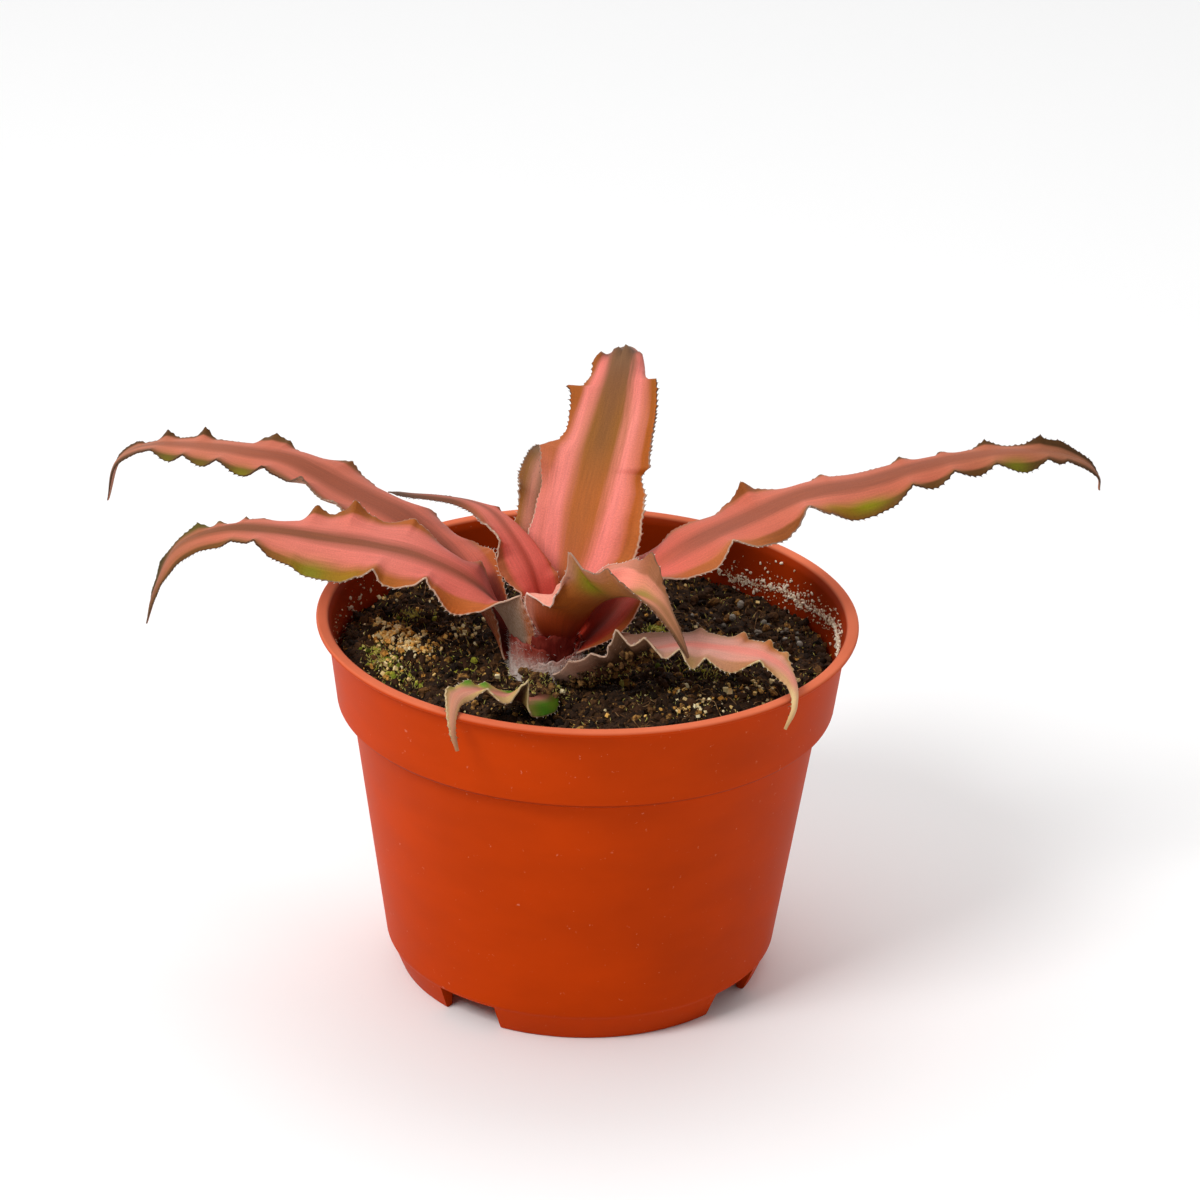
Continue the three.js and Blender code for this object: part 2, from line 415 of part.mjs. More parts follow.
// a closed blade of even thickness round its middle surface, split alike on both faces
function bladeGeometry(leaf) {
  const steps = Math.max(FEWEST_STATIONS, Math.round(pathLength(leaf.path) / STATION_PITCH));
  const rows = bladeRows(leaf, steps);
  const columns = ACROSS.length;
  const faces = [[], []];
  rows.forEach((row, i) => row.forEach((point, j) => {
    const lengthwise = rows[Math.min(i + 1, steps)][j].clone().sub(rows[Math.max(i - 1, 0)][j]);
    const crosswise = row[Math.min(j + 1, columns - 1)].clone().sub(row[Math.max(j - 1, 0)]);
    const outward = crosswise.cross(lengthwise).normalize();
    const edge = Math.abs(ACROSS[j]);
    const thick = THREE.MathUtils.lerp(BLADE_THICKNESS, MARGIN_THICKNESS, edge);
    faces[0].push(...point.clone().addScaledVector(outward, thick / 2));
    faces[1].push(...point.clone().addScaledVector(outward, -thick / 2));
  }));
  const under = rows.length * columns;
  const at = (i, j) => i * columns + j;
  const index = [];
  const quad = (a, b, c, d) => index.push(a, b, c, a, c, d);
  for (let i = 0; i < steps; i++) {
    for (let j = 0; j < columns - 1; j++) {
      quad(at(i, j), at(i, j + 1), at(i + 1, j + 1), at(i + 1, j));
      index.push(under + at(i, j), under + at(i + 1, j + 1), under + at(i, j + 1));
      index.push(under + at(i, j), under + at(i + 1, j), under + at(i + 1, j + 1));
    }
    const last = columns - 1;
    quad(at(i, 0), at(i + 1, 0), under + at(i + 1, 0), under + at(i, 0));
    quad(at(i + 1, last), at(i, last), under + at(i, last), under + at(i + 1, last));
  }
  for (let j = 0; j < columns - 1; j++) {
    quad(at(0, j + 1), at(0, j), under + at(0, j), under + at(0, j + 1));
    quad(at(steps, j), at(steps, j + 1), under + at(steps, j + 1), under + at(steps, j));
  }
  const geometry = new THREE.BufferGeometry();
  geometry.setAttribute('position', new THREE.Float32BufferAttribute([...faces[0], ...faces[1]], 3));
  geometry.setIndex(index);
  geometry.computeVertexNormals();
  return geometry;
}

// ---- the whole plant ----

const plant = new THREE.Group();
plant.add(makePot(), makeSoil(), makeCrown());
for (const [name, leaf] of Object.entries(LEAVES)) {
  plant.add(named(name, bladeGeometry(leaf), blade));
}

export default plant;
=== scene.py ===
import math

import bmesh
import bpy
import numpy as np
from bpy.props import FloatProperty, FloatVectorProperty, IntProperty, PointerProperty
from bpy.types import Operator, Panel, PropertyGroup
from mathutils import Matrix, Vector, noise


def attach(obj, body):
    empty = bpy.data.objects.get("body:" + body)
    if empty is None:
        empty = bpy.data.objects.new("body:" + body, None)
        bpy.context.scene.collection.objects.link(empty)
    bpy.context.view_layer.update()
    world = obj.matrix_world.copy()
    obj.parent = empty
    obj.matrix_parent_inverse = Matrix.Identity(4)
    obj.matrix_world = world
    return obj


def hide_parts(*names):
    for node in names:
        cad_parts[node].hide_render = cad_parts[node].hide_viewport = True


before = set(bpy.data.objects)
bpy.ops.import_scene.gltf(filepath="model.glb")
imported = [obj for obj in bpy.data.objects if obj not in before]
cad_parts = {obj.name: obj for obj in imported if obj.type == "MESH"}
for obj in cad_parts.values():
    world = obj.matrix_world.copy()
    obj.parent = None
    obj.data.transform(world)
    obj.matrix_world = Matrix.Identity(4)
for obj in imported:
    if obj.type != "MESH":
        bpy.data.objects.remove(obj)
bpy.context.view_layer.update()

bl_info = {
    "name": "Potted earth star",
    "version": (1, 0, 0),
    "blender": (4, 5, 0),
    "location": "3D View > Sidebar > Earth star",
    "description": "Builds a potted earth star: pot, soil and litter, crown, striped leaves and spines",
    "category": "Add Mesh",
}

# Lengths below are millimetres and angles degrees, and every mesh is made in metres.
MM = 0.001

# ---- pot ----

POT_HEIGHT = 76
LIP_RADIUS = 54
LIP_INNER_RADIUS = 51.8
LIP_THICKNESS = 1.1
# how far down the lip's inside slopes back to the wall
LIP_SLOPE = 1.6
BAND_TOP_RADIUS = 51.9
BAND_FOOT_RADIUS = 49.8
BAND_FOOT_Z = 58.4
BODY_TOP_RADIUS = 46.9
BODY_FOOT_RADIUS = 39.6
STEP_HEIGHT = 1.2
FOOT_RING_HEIGHT = 6.4
FOOT_RADIUS = 36.7
FOOT_WALL = 1.6
WALL = 1
FLOOR_TOP_Z = 7.4
FOOT_COUNT = 4
FRONT_FOOT_ANGLE = -80
NOTCH_ANGLE = 21
NOTCH_HEIGHT = 5.8
DRAIN_HOLES = 6
DRAIN_RADIUS = 3.4
DRAIN_CIRCLE_RADIUS = 25
CORNER_RADIUS = 0.5
POT_SIDES = 288
HOLE_SIDES = 48
SHARP_ANGLE = 38

# ---- soil ----

SOIL_LEVEL = 67.5
SOIL_SLOPE = (-0.02, -0.05)
# Heaps and hollows: x, y, radius, height.
SOIL_HEAPS = [
    (-10, 2, 12, 1.2), (-34, -4, 10, 1.8), (-26, -26, 9, 0.8), (10, -34, 9, 0.8), (28, -22, 8, 1),
    (-7, -33, 7, -0.8), (28, 18, 12, -1.2), (2, 30, 12, -1), (-28, 26, 10, -1),
]
SOIL_GAP = 0.4
SOIL_RINGS = 120
SOIL_SIDES = 330
BED_RINGS = 48
BED_SIDES = 144

# What lies where on the soil: x, y, radius, amount.
CRUMB_SPOTS = [
    (-41, 10, 2, 2), (-38, 7, 2, 2), (-39.5, 3, 2.4, 2), (-37, -1, 3, 2), (-34, -4, 2, 2), (-36, -7, 2, 1.6),
    (-32, -7, 2.5, 1.4), (-41, -2, 2, 1.4), (-33, 2, 1.5, 1.4), (-26, 8, 2, 0.7), (-26, 2, 5, 0.12),
    (-40, -12, 3, 0.5), (-37, -19, 2, 0.5), (17, -30, 1.6, 0.9), (21, -29.5, 2, 0.9), (19.5, -19, 1.8, 0.7),
    (30, -21, 3, 0.5), (26, -26, 2.5, 0.5), (34, -17, 3, 0.35), (-10, -24, 2, 0.5), (2, -34, 1, 0.6),
    (-8, -27, 1.6, 0.7), (38, -8, 4, 0.15),
]
PEBBLE_SPOTS = [
    (31.7, 23.7, 2, 0.25), (35.6, 17.5, 2.5, 0.3), (39.7, 16.8, 2, 0.3), (26, 22, 6, 0.05),
    (33, 12, 6, 0.06), (22, 28, 5, 0.05), (39, 5, 4, 0.04),
]
MOSS_SPOTS = [
    (-36, 14.6, 2.4, 0.8), (-42, -6, 2, 0.9), (-40, -12, 2.4, 0.9), (-37, -18, 2.4, 0.9),
    (-34, -23, 1.6, 0.5), (14, 14, 2.2, 0.9), (11.5, 8.5, 2, 0.7), (16.5, -7, 1.6, 0.6),
    (20.5, -8, 1.6, 0.6), (24.5, -9.2, 1.6, 0.6), (-8, -20, 2.6, 0.5), (-5, -23, 2, 0.3),
    (-14, -14, 1.5, 0.3), (6, -12, 3, 0.35), (-24, -12, 6, 0.05), (30, 2, 8, 0.03),
]
# The lime crust on the wall: degrees round the pot, height.
CRUST_MARKS = [
    (56, 67.4), (51, 66.6), (45.6, 67.2), (37.3, 69), (32, 68.6), (25, 68.8), (18, 69.9), (8.5, 71.1),
    (2, 70.6), (-4, 69.2), (-12, 68.6),
]
SPECK_MARKS = [(148, 69), (156, 70.3), (165, 70), (172, 69), (186, 69)]
# Soil and moss that lie on a leaf: name, places along and across, how many bits, and the face they are on.
LEAF_LITTER = [
    ("leaf_front_low", (0.0, 0.24), (-1, 1), 150, 1), ("leaf_front_low", (0.24, 0.34), (0, 1), 30, 1),
    ("leaf_right_low", (0.0, 0.38), (-0.3, 0.75), 420, -1),
]
# Loose fibres: how many, the ranges of x and y that they start in, their steps and how far out they lie.
FIBRES = 150
FIBRE_FIELD = ((-46, 44), (-40, 30))
FIBRE_STEP = 0.7
FIBRE_REACH = 47
# These few lie beside the crown, where the most soil shows.
CROWN_FIBRES = 16
CROWN_FIELD = ((-19, -12), (-19, 0))

# ---- crown ----

CROWN_CENTRE = (-8, -11)
# Each sheath: the direction it faces, half its spread, radius and height at its foot and at its head,
# how woolly it is, and how far its wool thins out towards the head.
SHEATHS = [
    (-82, 80, 5.8, 66, 6.3, 78.8, 0.12, 1),
    (-165, 84, 7.3, 65.5, 7.4, 77.6, 1.0, 0.85),
    (-62, 66, 7.9, 65.5, 7.5, 74.0, 0.95, 0.3),
    (5, 62, 6.9, 65.5, 7.0, 75.5, 0.7, 0.6),
    (75, 64, 6.5, 65.5, 6.6, 77.5, 0.6, 0.6),
    (130, 64, 6.9, 65.5, 7.0, 76.5, 0.7, 0.6),
]
CORE_OUTLINE = [
    (0, 60), (4.6, 60), (5.2, 65), (5.6, 68), (5.4, 71), (4.6, 74), (3.6, 76), (1.8, 77.3), (0, 77.6),
]
SHEATH_COLUMNS = 25
SHEATH_ROWS = 21

# ---- leaves ----

# Towards the midrib the margin's waves, its teeth and the blade's cup die out by these powers.
RUFFLE_POWER = 2.6
TOOTH_POWER = 24
CUP_POWER = 1.6
# At 0 the waves are even, and at 1 they have round hollows and sharp crests.
CREST = 0.8
BLADE_THICKNESS = 0.8
MARGIN_THICKNESS = 0.34
STATION_PITCH = 0.26
# The teeth: their pitch, the shares of it before and behind a tip, and how deep they are cut in.
TOOTH_PITCH = 1.15
TOOTH_TIP = 0.68
TOOTH_BACK = 0.32
TOOTH_ROOT = 0.2
# The columns of points crowd towards the margins like the sine of angles up to this one, in radians.
COLUMN_CROWDING = math.pi / 2 * 0.86
# A lobe stands out past the blade's even strip, which is as narrow as the blade is anywhere within the
# window to either side. Its colour starts a little inside the strip's edge and is full at this depth.
LOBE_WINDOW = 7
LOBE_INSET = 0.7
LOBE_DEPTH = 2.2

# Each leaf is a blade swept along its midrib, from the crown to its tip.
# path: points on the midrib. half: half the blade's width, evenly spaced from base to tip.
# cup: how far its sides turn up, as a share of the half width. roll: degrees about the midrib.
# left and right: the waves of each margin, looking out along the leaf, as turning points
# (place along the leaf from 0 to 1, rise, extra reach).
LEAVES = {
    "leaf_back": {
        "path": [(-6.6, -6.6, 75.4), (-4.9, -3.1, 81), (-3, 1, 87), (-1, 8, 95.5), (1, 15, 102.5),
                 (3, 22, 108.6), (5, 31, 115.2), (5.8, 38, 117), (6.4, 45, 115.2), (7, 50.5, 110),
                 (7.5, 53.3, 103)],
        "half": [4, 7.5, 9.5, 11, 11, 10.5, 9, 7.5, 5.5, 3, 0.8],
        "cup": [0.5, 0.4, 0.3, 0.2, 0.15, 0.1, 0, -0.2, -0.3, -0.1, 0],
        "roll": [0, 0],
        "left": [(0.21, 1, 0), (0.28, 0, -1), (0.33, -1, -1), (0.39, 1, 0), (0.43, 1, 1.2), (0.445, 0, 0),
                 (0.463, -1, -1.7), (0.49, -1, -2.4), (0.54, 0, -1.5), (0.58, 1, -0.5), (0.608, 1.5, 1.1),
                 (0.621, 0, -1.6), (0.66, -0.5, -1.5), (0.72, 1.5, -1), (0.76, 0, -1.5), (0.84, -1, -0.5)],
        "right": [(0.12, 0, 2), (0.18, 0, 5), (0.23, 1, 4.7), (0.28, 1, 3.3), (0.33, 0, 1.9),
                  (0.382, -1, -0.3), (0.393, 1, 1.8), (0.44, 1, 1), (0.5, 1, 0.6), (0.57, 0, 0.3),
                  (0.632, 1, 0.1), (0.645, -1, -2), (0.67, -3, -4), (0.7, -6, -5), (0.74, -8, -5),
                  (0.85, -5, -4)],
    },
    "leaf_back_left": {
        "path": [(-8.5, -4.2, 71.5), (-9.5, -1, 78), (-10, 6, 85.5), (-10.2, 13, 91), (-9.4, 21.5, 95),
                 (-8.4, 31, 95.5), (-7, 41, 92.5), (-6.5, 48.5, 87), (-6, 53, 80)],
        "half": [3.5, 5, 6, 6, 5.5, 4.5, 3.5, 2, 0.4],
        "cup": [0.4, 0.3, 0.2, 0.2, 0.15, 0.1, 0.1, 0.05, 0],
        "roll": [0, 0],
        "left": [(0.3, 1, -2), (0.315, 0, 0), (0.36, -1, -1.5), (0.43, 1, -0.5), (0.475, 0, 0),
                 (0.6, 1, 0)],
        "right": [(0.25, 1, 0), (0.34, -1, 0), (0.45, 1, 0), (0.56, -1, 0), (0.68, 1, 0)],
    },
    "leaf_left_upper": {
        "path": [(-15.2, -10.8, 71), (-17.5, -8.6, 75.5), (-22.3, -2, 81), (-29.5, 8.5, 85.2),
                 (-38.5, 17.5, 88.5), (-50.3, 26.5, 90.5), (-60.8, 33.5, 93), (-70, 38, 92.8),
                 (-80.5, 42, 92.2), (-91.5, 46.5, 90.3), (-98.5, 49.5, 85.5), (-101, 51, 76)],
        "half": [2.2, 4.6, 8, 10, 11, 10.5, 9, 7.5, 6, 4, 2, 0.35],
        "cup": [0.4, 0.3, 0.2, 0.1, 0.05, 0.05, 0.05, 0, 0, 0, 0, 0],
        "roll": [0, -5, -8, -8, -8, -8, -8, -8, -5, 0, 0, 0],
        "left": [(0.053, 2.5, -1.5), (0.14, 3, -3.5), (0.19, 1.5, -4.5), (0.24, 0, -3), (0.29, 0, -1.5),
                 (0.34, 0), (0.402, 3.2), (0.414, 3.6), (0.44, 2.7), (0.497, 4.7), (0.535, 1.2), (0.565, 1),
                 (0.59, 2), (0.643, -1.5), (0.692, 0.9), (0.727, -1.6), (0.759, 0.2), (0.793, -2),
                 (0.826, 0.1), (0.856, -0.3), (0.889, -0.8)],
        "right": [(0.188, 0.9), (0.202, -0.1), (0.242, -2.8), (0.284, -5.7), (0.315, -5.5), (0.345, -4),
                  (0.393, -6.4), (0.433, -5.8), (0.473, -3.8), (0.509, -1), (0.521, -1.6), (0.56, -3.6),
                  (0.586, -3.2), (0.603, -2.4), (0.614, -0.2), (0.635, 1.4), (0.657, 0.2), (0.674, -1.4),
                  (0.738, -0.6), (0.756, 2.5), (0.778, 0.3), (0.801, 0.1), (0.822, 2.2), (0.846, 0.1),
                  (0.863, 0.2), (0.875, 1.1), (0.917, 1.1)],
    },
    "leaf_left_lower": {
        "path": [(-13.3, -12.6, 73.5), (-17, -12.6, 81.5), (-23, -11, 87), (-32.5, -9, 91), (-42, -7, 92.5),
                 (-52, -5, 93), (-62.5, -3, 93.5), (-72.5, -1, 92.5), (-81.5, 0, 88), (-86, 1, 78.5),
                 (-88, 1, 71)],
        "half": [3.5, 7.5, 11, 12, 11.5, 10.5, 8, 5, 3, 1.5, 0.35],
        "cup": [0.5, 0.35, 0.2, 0.1, 0.05, 0.05, 0.05, 0, 0, 0, 0],
        "roll": [10, 15, -12, -15, -15, -15, -15, -15, -10, 0, 0],
        "left": [(0.04, 1.5), (0.085, 1.5), (0.107, 2.5), (0.118, -1), (0.13, -5), (0.155, -6.5),
                 (0.234, -0.6), (0.257, 1.8), (0.279, -1.1), (0.314, -2.5), (0.334, -2.2), (0.359, 0.9),
                 (0.395, -1.7), (0.438, -3.7), (0.502, -3.8), (0.536, -2.4), (0.575, -2), (0.618, 1.3),
                 (0.64, 0.2), (0.672, 0.2), (0.717, -1.6), (0.755, -1.7), (0.8, -2.2), (0.84, -2),
                 (0.9, -1)],
        "right": [(0.138, -2.5), (0.183, -2), (0.22, -6), (0.322, -0.8), (0.338, 0.5), (0.392, -1.2),
                  (0.417, -0.2), (0.456, 3.3), (0.482, 0.5), (0.502, -0.6), (0.534, 1.5), (0.566, -2.5),
                  (0.59, -2.7), (0.64, -1.2), (0.664, -1.1), (0.672, -0.3), (0.689, -1.9), (0.702, -1.4),
                  (0.721, 0.3), (0.737, -0.5), (0.76, 1.6), (0.79, 1), (0.82, 0.9), (0.87, 1.8),
                  (0.93, 1.1)],
    },
    "leaf_left_inner": {
        "path": [(-8.4, -10.5, 78.3), (-10.5, -9.5, 86.2), (-12.5, -7.5, 90.6), (-16, -3.5, 94.6),
                 (-19.5, 1.5, 96.6), (-24, 5.8, 97), (-30, 9.5, 96.4), (-36, 13, 95.2), (-40.5, 15, 94.8)],
        "half": [3, 5, 6.5, 6, 4.5, 2.2, 1.2, 0.8, 0.35],
        "cup": [0.6, 0.5, 0.4, 0.3, 0.3, 0.2, 0.1, 0, 0],
        "roll": [-15, -20, -20, -20, -15, -10, 0, 0, 0],
        "left": [(0.162, -1), (0.216, -3.4), (0.246, -3.8), (0.282, -3), (0.318, -0.2), (0.335, 1.8),
                 (0.365, 1.8), (0.406, 0.8), (0.452, -0.8), (0.527, -1.5), (0.6, -1.5), (0.704, -1.1),
                 (0.85, -0.7)],
        "right": [(0.167, -1.4), (0.217, -3.7), (0.292, -4.8), (0.367, -4.4), (0.443, -3.6), (0.515, -2.9),
                  (0.545, -1), (0.579, -1.2), (0.656, -0.6), (0.74, 0.2), (0.83, 0.3), (0.95, -0.5)],
    },
    "leaf_right": {
        "path": [(-2.5, -11, 72.3), (4.5, -10, 80), (10, -8, 87), (20, -4, 93), (30.5, 0, 97),
                 (42, 3, 101.5), (54, 6, 103), (66.5, 9, 106), (78.5, 12, 107.5), (89.5, 15, 107),
                 (97.5, 17, 104.5), (101.5, 18, 101), (102, 18, 98)],
        "half": [3.5, 6.5, 9, 10.5, 10.5, 9.5, 8.5, 7.5, 6, 4.5, 3, 1.5, 0.35],
        "cup": [0.5, 0.35, 0.25, 0.15, 0.1, 0.05, 0.05, 0, 0, 0, 0, 0, 0],
        "roll": [0, 5, 8, 10, 10, 10, 10, 10, 10, 10, 5, 0, 0],
        "left": [(0.16, -1.5), (0.217, -4), (0.256, -2.5), (0.291, -2.6), (0.327, -3.2), (0.35, -1.6),
                 (0.384, 2.3), (0.401, -0.7), (0.453, -3.1), (0.48, -2.7), (0.507, -1), (0.522, -1.7),
                 (0.615, -1.3), (0.635, 0), (0.665, -1.5), (0.69, -1.4), (0.702, -0.4), (0.727, -1.3),
                 (0.748, -0.9), (0.773, 1.4), (0.81, 0), (0.829, 0.4), (0.862, 2.9), (0.873, 2.3),
                 (0.894, 2.6), (0.95, 1.3)],
        "right": [(0.09, -3), (0.18, 1), (0.225, -2), (0.262, -2.5), (0.306, 2), (0.36, -2), (0.4, -2.9),
                  (0.413, -2.1), (0.45, 2.1), (0.485, -1.2), (0.53, -3.7), (0.58, -2.8), (0.627, 0.5),
                  (0.665, -2.1), (0.7, 0.4), (0.742, -2.1), (0.773, -0.3), (0.83, -3.2), (0.868, -0.6),
                  (0.892, -1.4), (0.904, -0.5), (0.93, -0.8)],
    },
    "leaf_front": {
        "path": [(-4.1, -13.7, 75.5), (-2, -15.6, 80.2), (0.4, -17.8, 85), (3.1, -20.2, 88.4),
                 (6.1, -22.8, 90.6), (9.2, -25.2, 91.7), (11.9, -27.4, 91.8), (14, -29, 90.9),
                 (16.2, -30.8, 88.2), (18, -31.9, 85.2), (19.5, -32.6, 82.2)],
        "half": [3.6, 8, 11, 11.5, 10, 8, 5.5, 3.8, 2.2, 1.2, 0.35],
        "cup": [0.5, 0.6, 0.7, 0.75, 0.7, 0.6, 0.45, 0.3, 0.15, 0, 0],
        "roll": [0, 0],
        "left": [(0.08, -1, -2.5), (0.2, -1.5, -4), (0.28, -2, -1.5), (0.337, -2.7, 0), (0.486, 0, 0),
                 (0.597, 4.9, 0), (0.636, 2.8, 0), (0.666, 0.4, 0), (0.735, -1, 0), (0.858, 0, 0)],
        "right": [(0.15, -0.5, 0), (0.246, 0.5, 0), (0.304, -4.8, 0), (0.349, -2.8, 0), (0.41, 0.6, 0),
                  (0.46, 5.9, 0), (0.492, 2.3, 0), (0.518, 1.9, 0), (0.56, 3.8, 0), (0.611, 1.8, 0),
                  (0.656, 0.8, 0), (0.697, 0.1, 0), (0.761, -0.2, 0), (0.865, 0.2, 0)],
    },
    "leaf_right_low": {
        "path": [(-4.5, -17.2, 69.4), (0.6, -20, 70.9), (6, -22, 74.2), (11.5, -22.3, 77.8), (18, -23, 80),
                 (26, -25, 80.5), (32.5, -28, 81), (37.3, -31, 80), (39.8, -35, 78.7), (40.1, -39, 75.4),
                 (38.3, -40.9, 71.5)],
        "half": [3.5, 5, 6.5, 7.5, 7.5, 7, 6.2, 4.4, 1.7, 0.55, 0.3],
        "cup": [0.7, 0.8, 0.7, 0.4, 0.2, 0.2, 0.2, 0.2, 0.1, 0, 0],
        "roll": [0, 0],
        "left": [(0.1, -2), (0.2, -2), (0.256, 1.5), (0.292, 0), (0.426, -0.4), (0.464, 0.8), (0.485, -0.2),
                 (0.542, -0.5), (0.59, 1.3), (0.6, -0.3), (0.652, 0), (0.678, 1.4), (0.7, 0), (0.72, 0.3),
                 (0.74, 1.6), (0.76, 0.3), (0.803, -0.6), (0.85, -1)],
        "right": [(0.086, 2), (0.16, 1), (0.193, 1.5), (0.226, 0), (0.25, 2), (0.29, 5), (0.305, 1),
                  (0.348, 2.5), (0.392, -2), (0.444, 0), (0.487, -4), (0.531, -1.5), (0.629, -4),
                  (0.712, 0), (0.746, -0.9), (0.8, -1.5), (0.85, -1), (0.9, -0.5)],
    },
    "leaf_front_low": {
        "path": [(-10.2, -17.6, 70.5), (-9.1, -24, 71), (-9.5, -30, 71.8), (-12.5, -35, 73.6),
                 (-17, -38.3, 76), (-21.5, -40.8, 77.8), (-24.5, -44, 78.3), (-25.3, -48.5, 77),
                 (-25, -51.3, 74), (-24, -51.8, 70.5)],
        "half": [2.5, 3, 3.8, 5, 5.5, 5.4, 3.1, 1.2, 0.5, 0.35],
        "cup": [0.2, 0.2, 0.1, 0.1, 0.1, 0.1, 0.1, 0, 0, 0],
        "roll": [0, 0],
        "left": [(0.2, -1.5), (0.34, -2.8), (0.42, -3.4), (0.438, -2.6), (0.47, 3.5), (0.5, 2), (0.545, -2),
                 (0.627, 0.5), (0.71, -1.5), (0.8, -1)],
        "right": [(0.41, 0.5), (0.51, 1.5), (0.56, 0.5), (0.61, 1.5), (0.685, 0.5), (0.72, 1.5),
                  (0.75, 1.5)],
    },
}

# How each leaf is coloured.
# top and under: bands at places along the leaf, as (place, colour of the middle band and half its width as
# a share of the blade's, flank colour, margin colour and the share at which it starts).
# lobe: colours of the lobes that stand out past the even strip, as (place along, colour).
# edge: the margin line's colour at the base and at the tip. scurf: share of silvery scales, top and under.
# patches: (face, place along, place across, reach along, reach across, colour, strength).
# teeth: heights of the margin's teeth at the base and at the tip. spines: their sizes likewise, and the
# place along the leaf from which they are brown.
# lips: where the blade swells and its margin rolls back, as (side, place, reach, rise, out).
# ruffle: where the blade breaks into points across its bend, as (place, reach, height).
STRAW = "#D9B8A0"
DARK_EDGE = "#4A3020"
OUTER_LOBES = [(0.15, "#B8602E"), (0.38, "#8E4E20"), (0.6, "#66441A"), (1, "#4A3422")]
PALE_UNDER = [
    (0, "#B08068", 0.3, "#B88C74", "#B87858", 0.8), (1, "#8E6A54", 0.3, "#8E6A54", "#7A5A40", 0.8),
]

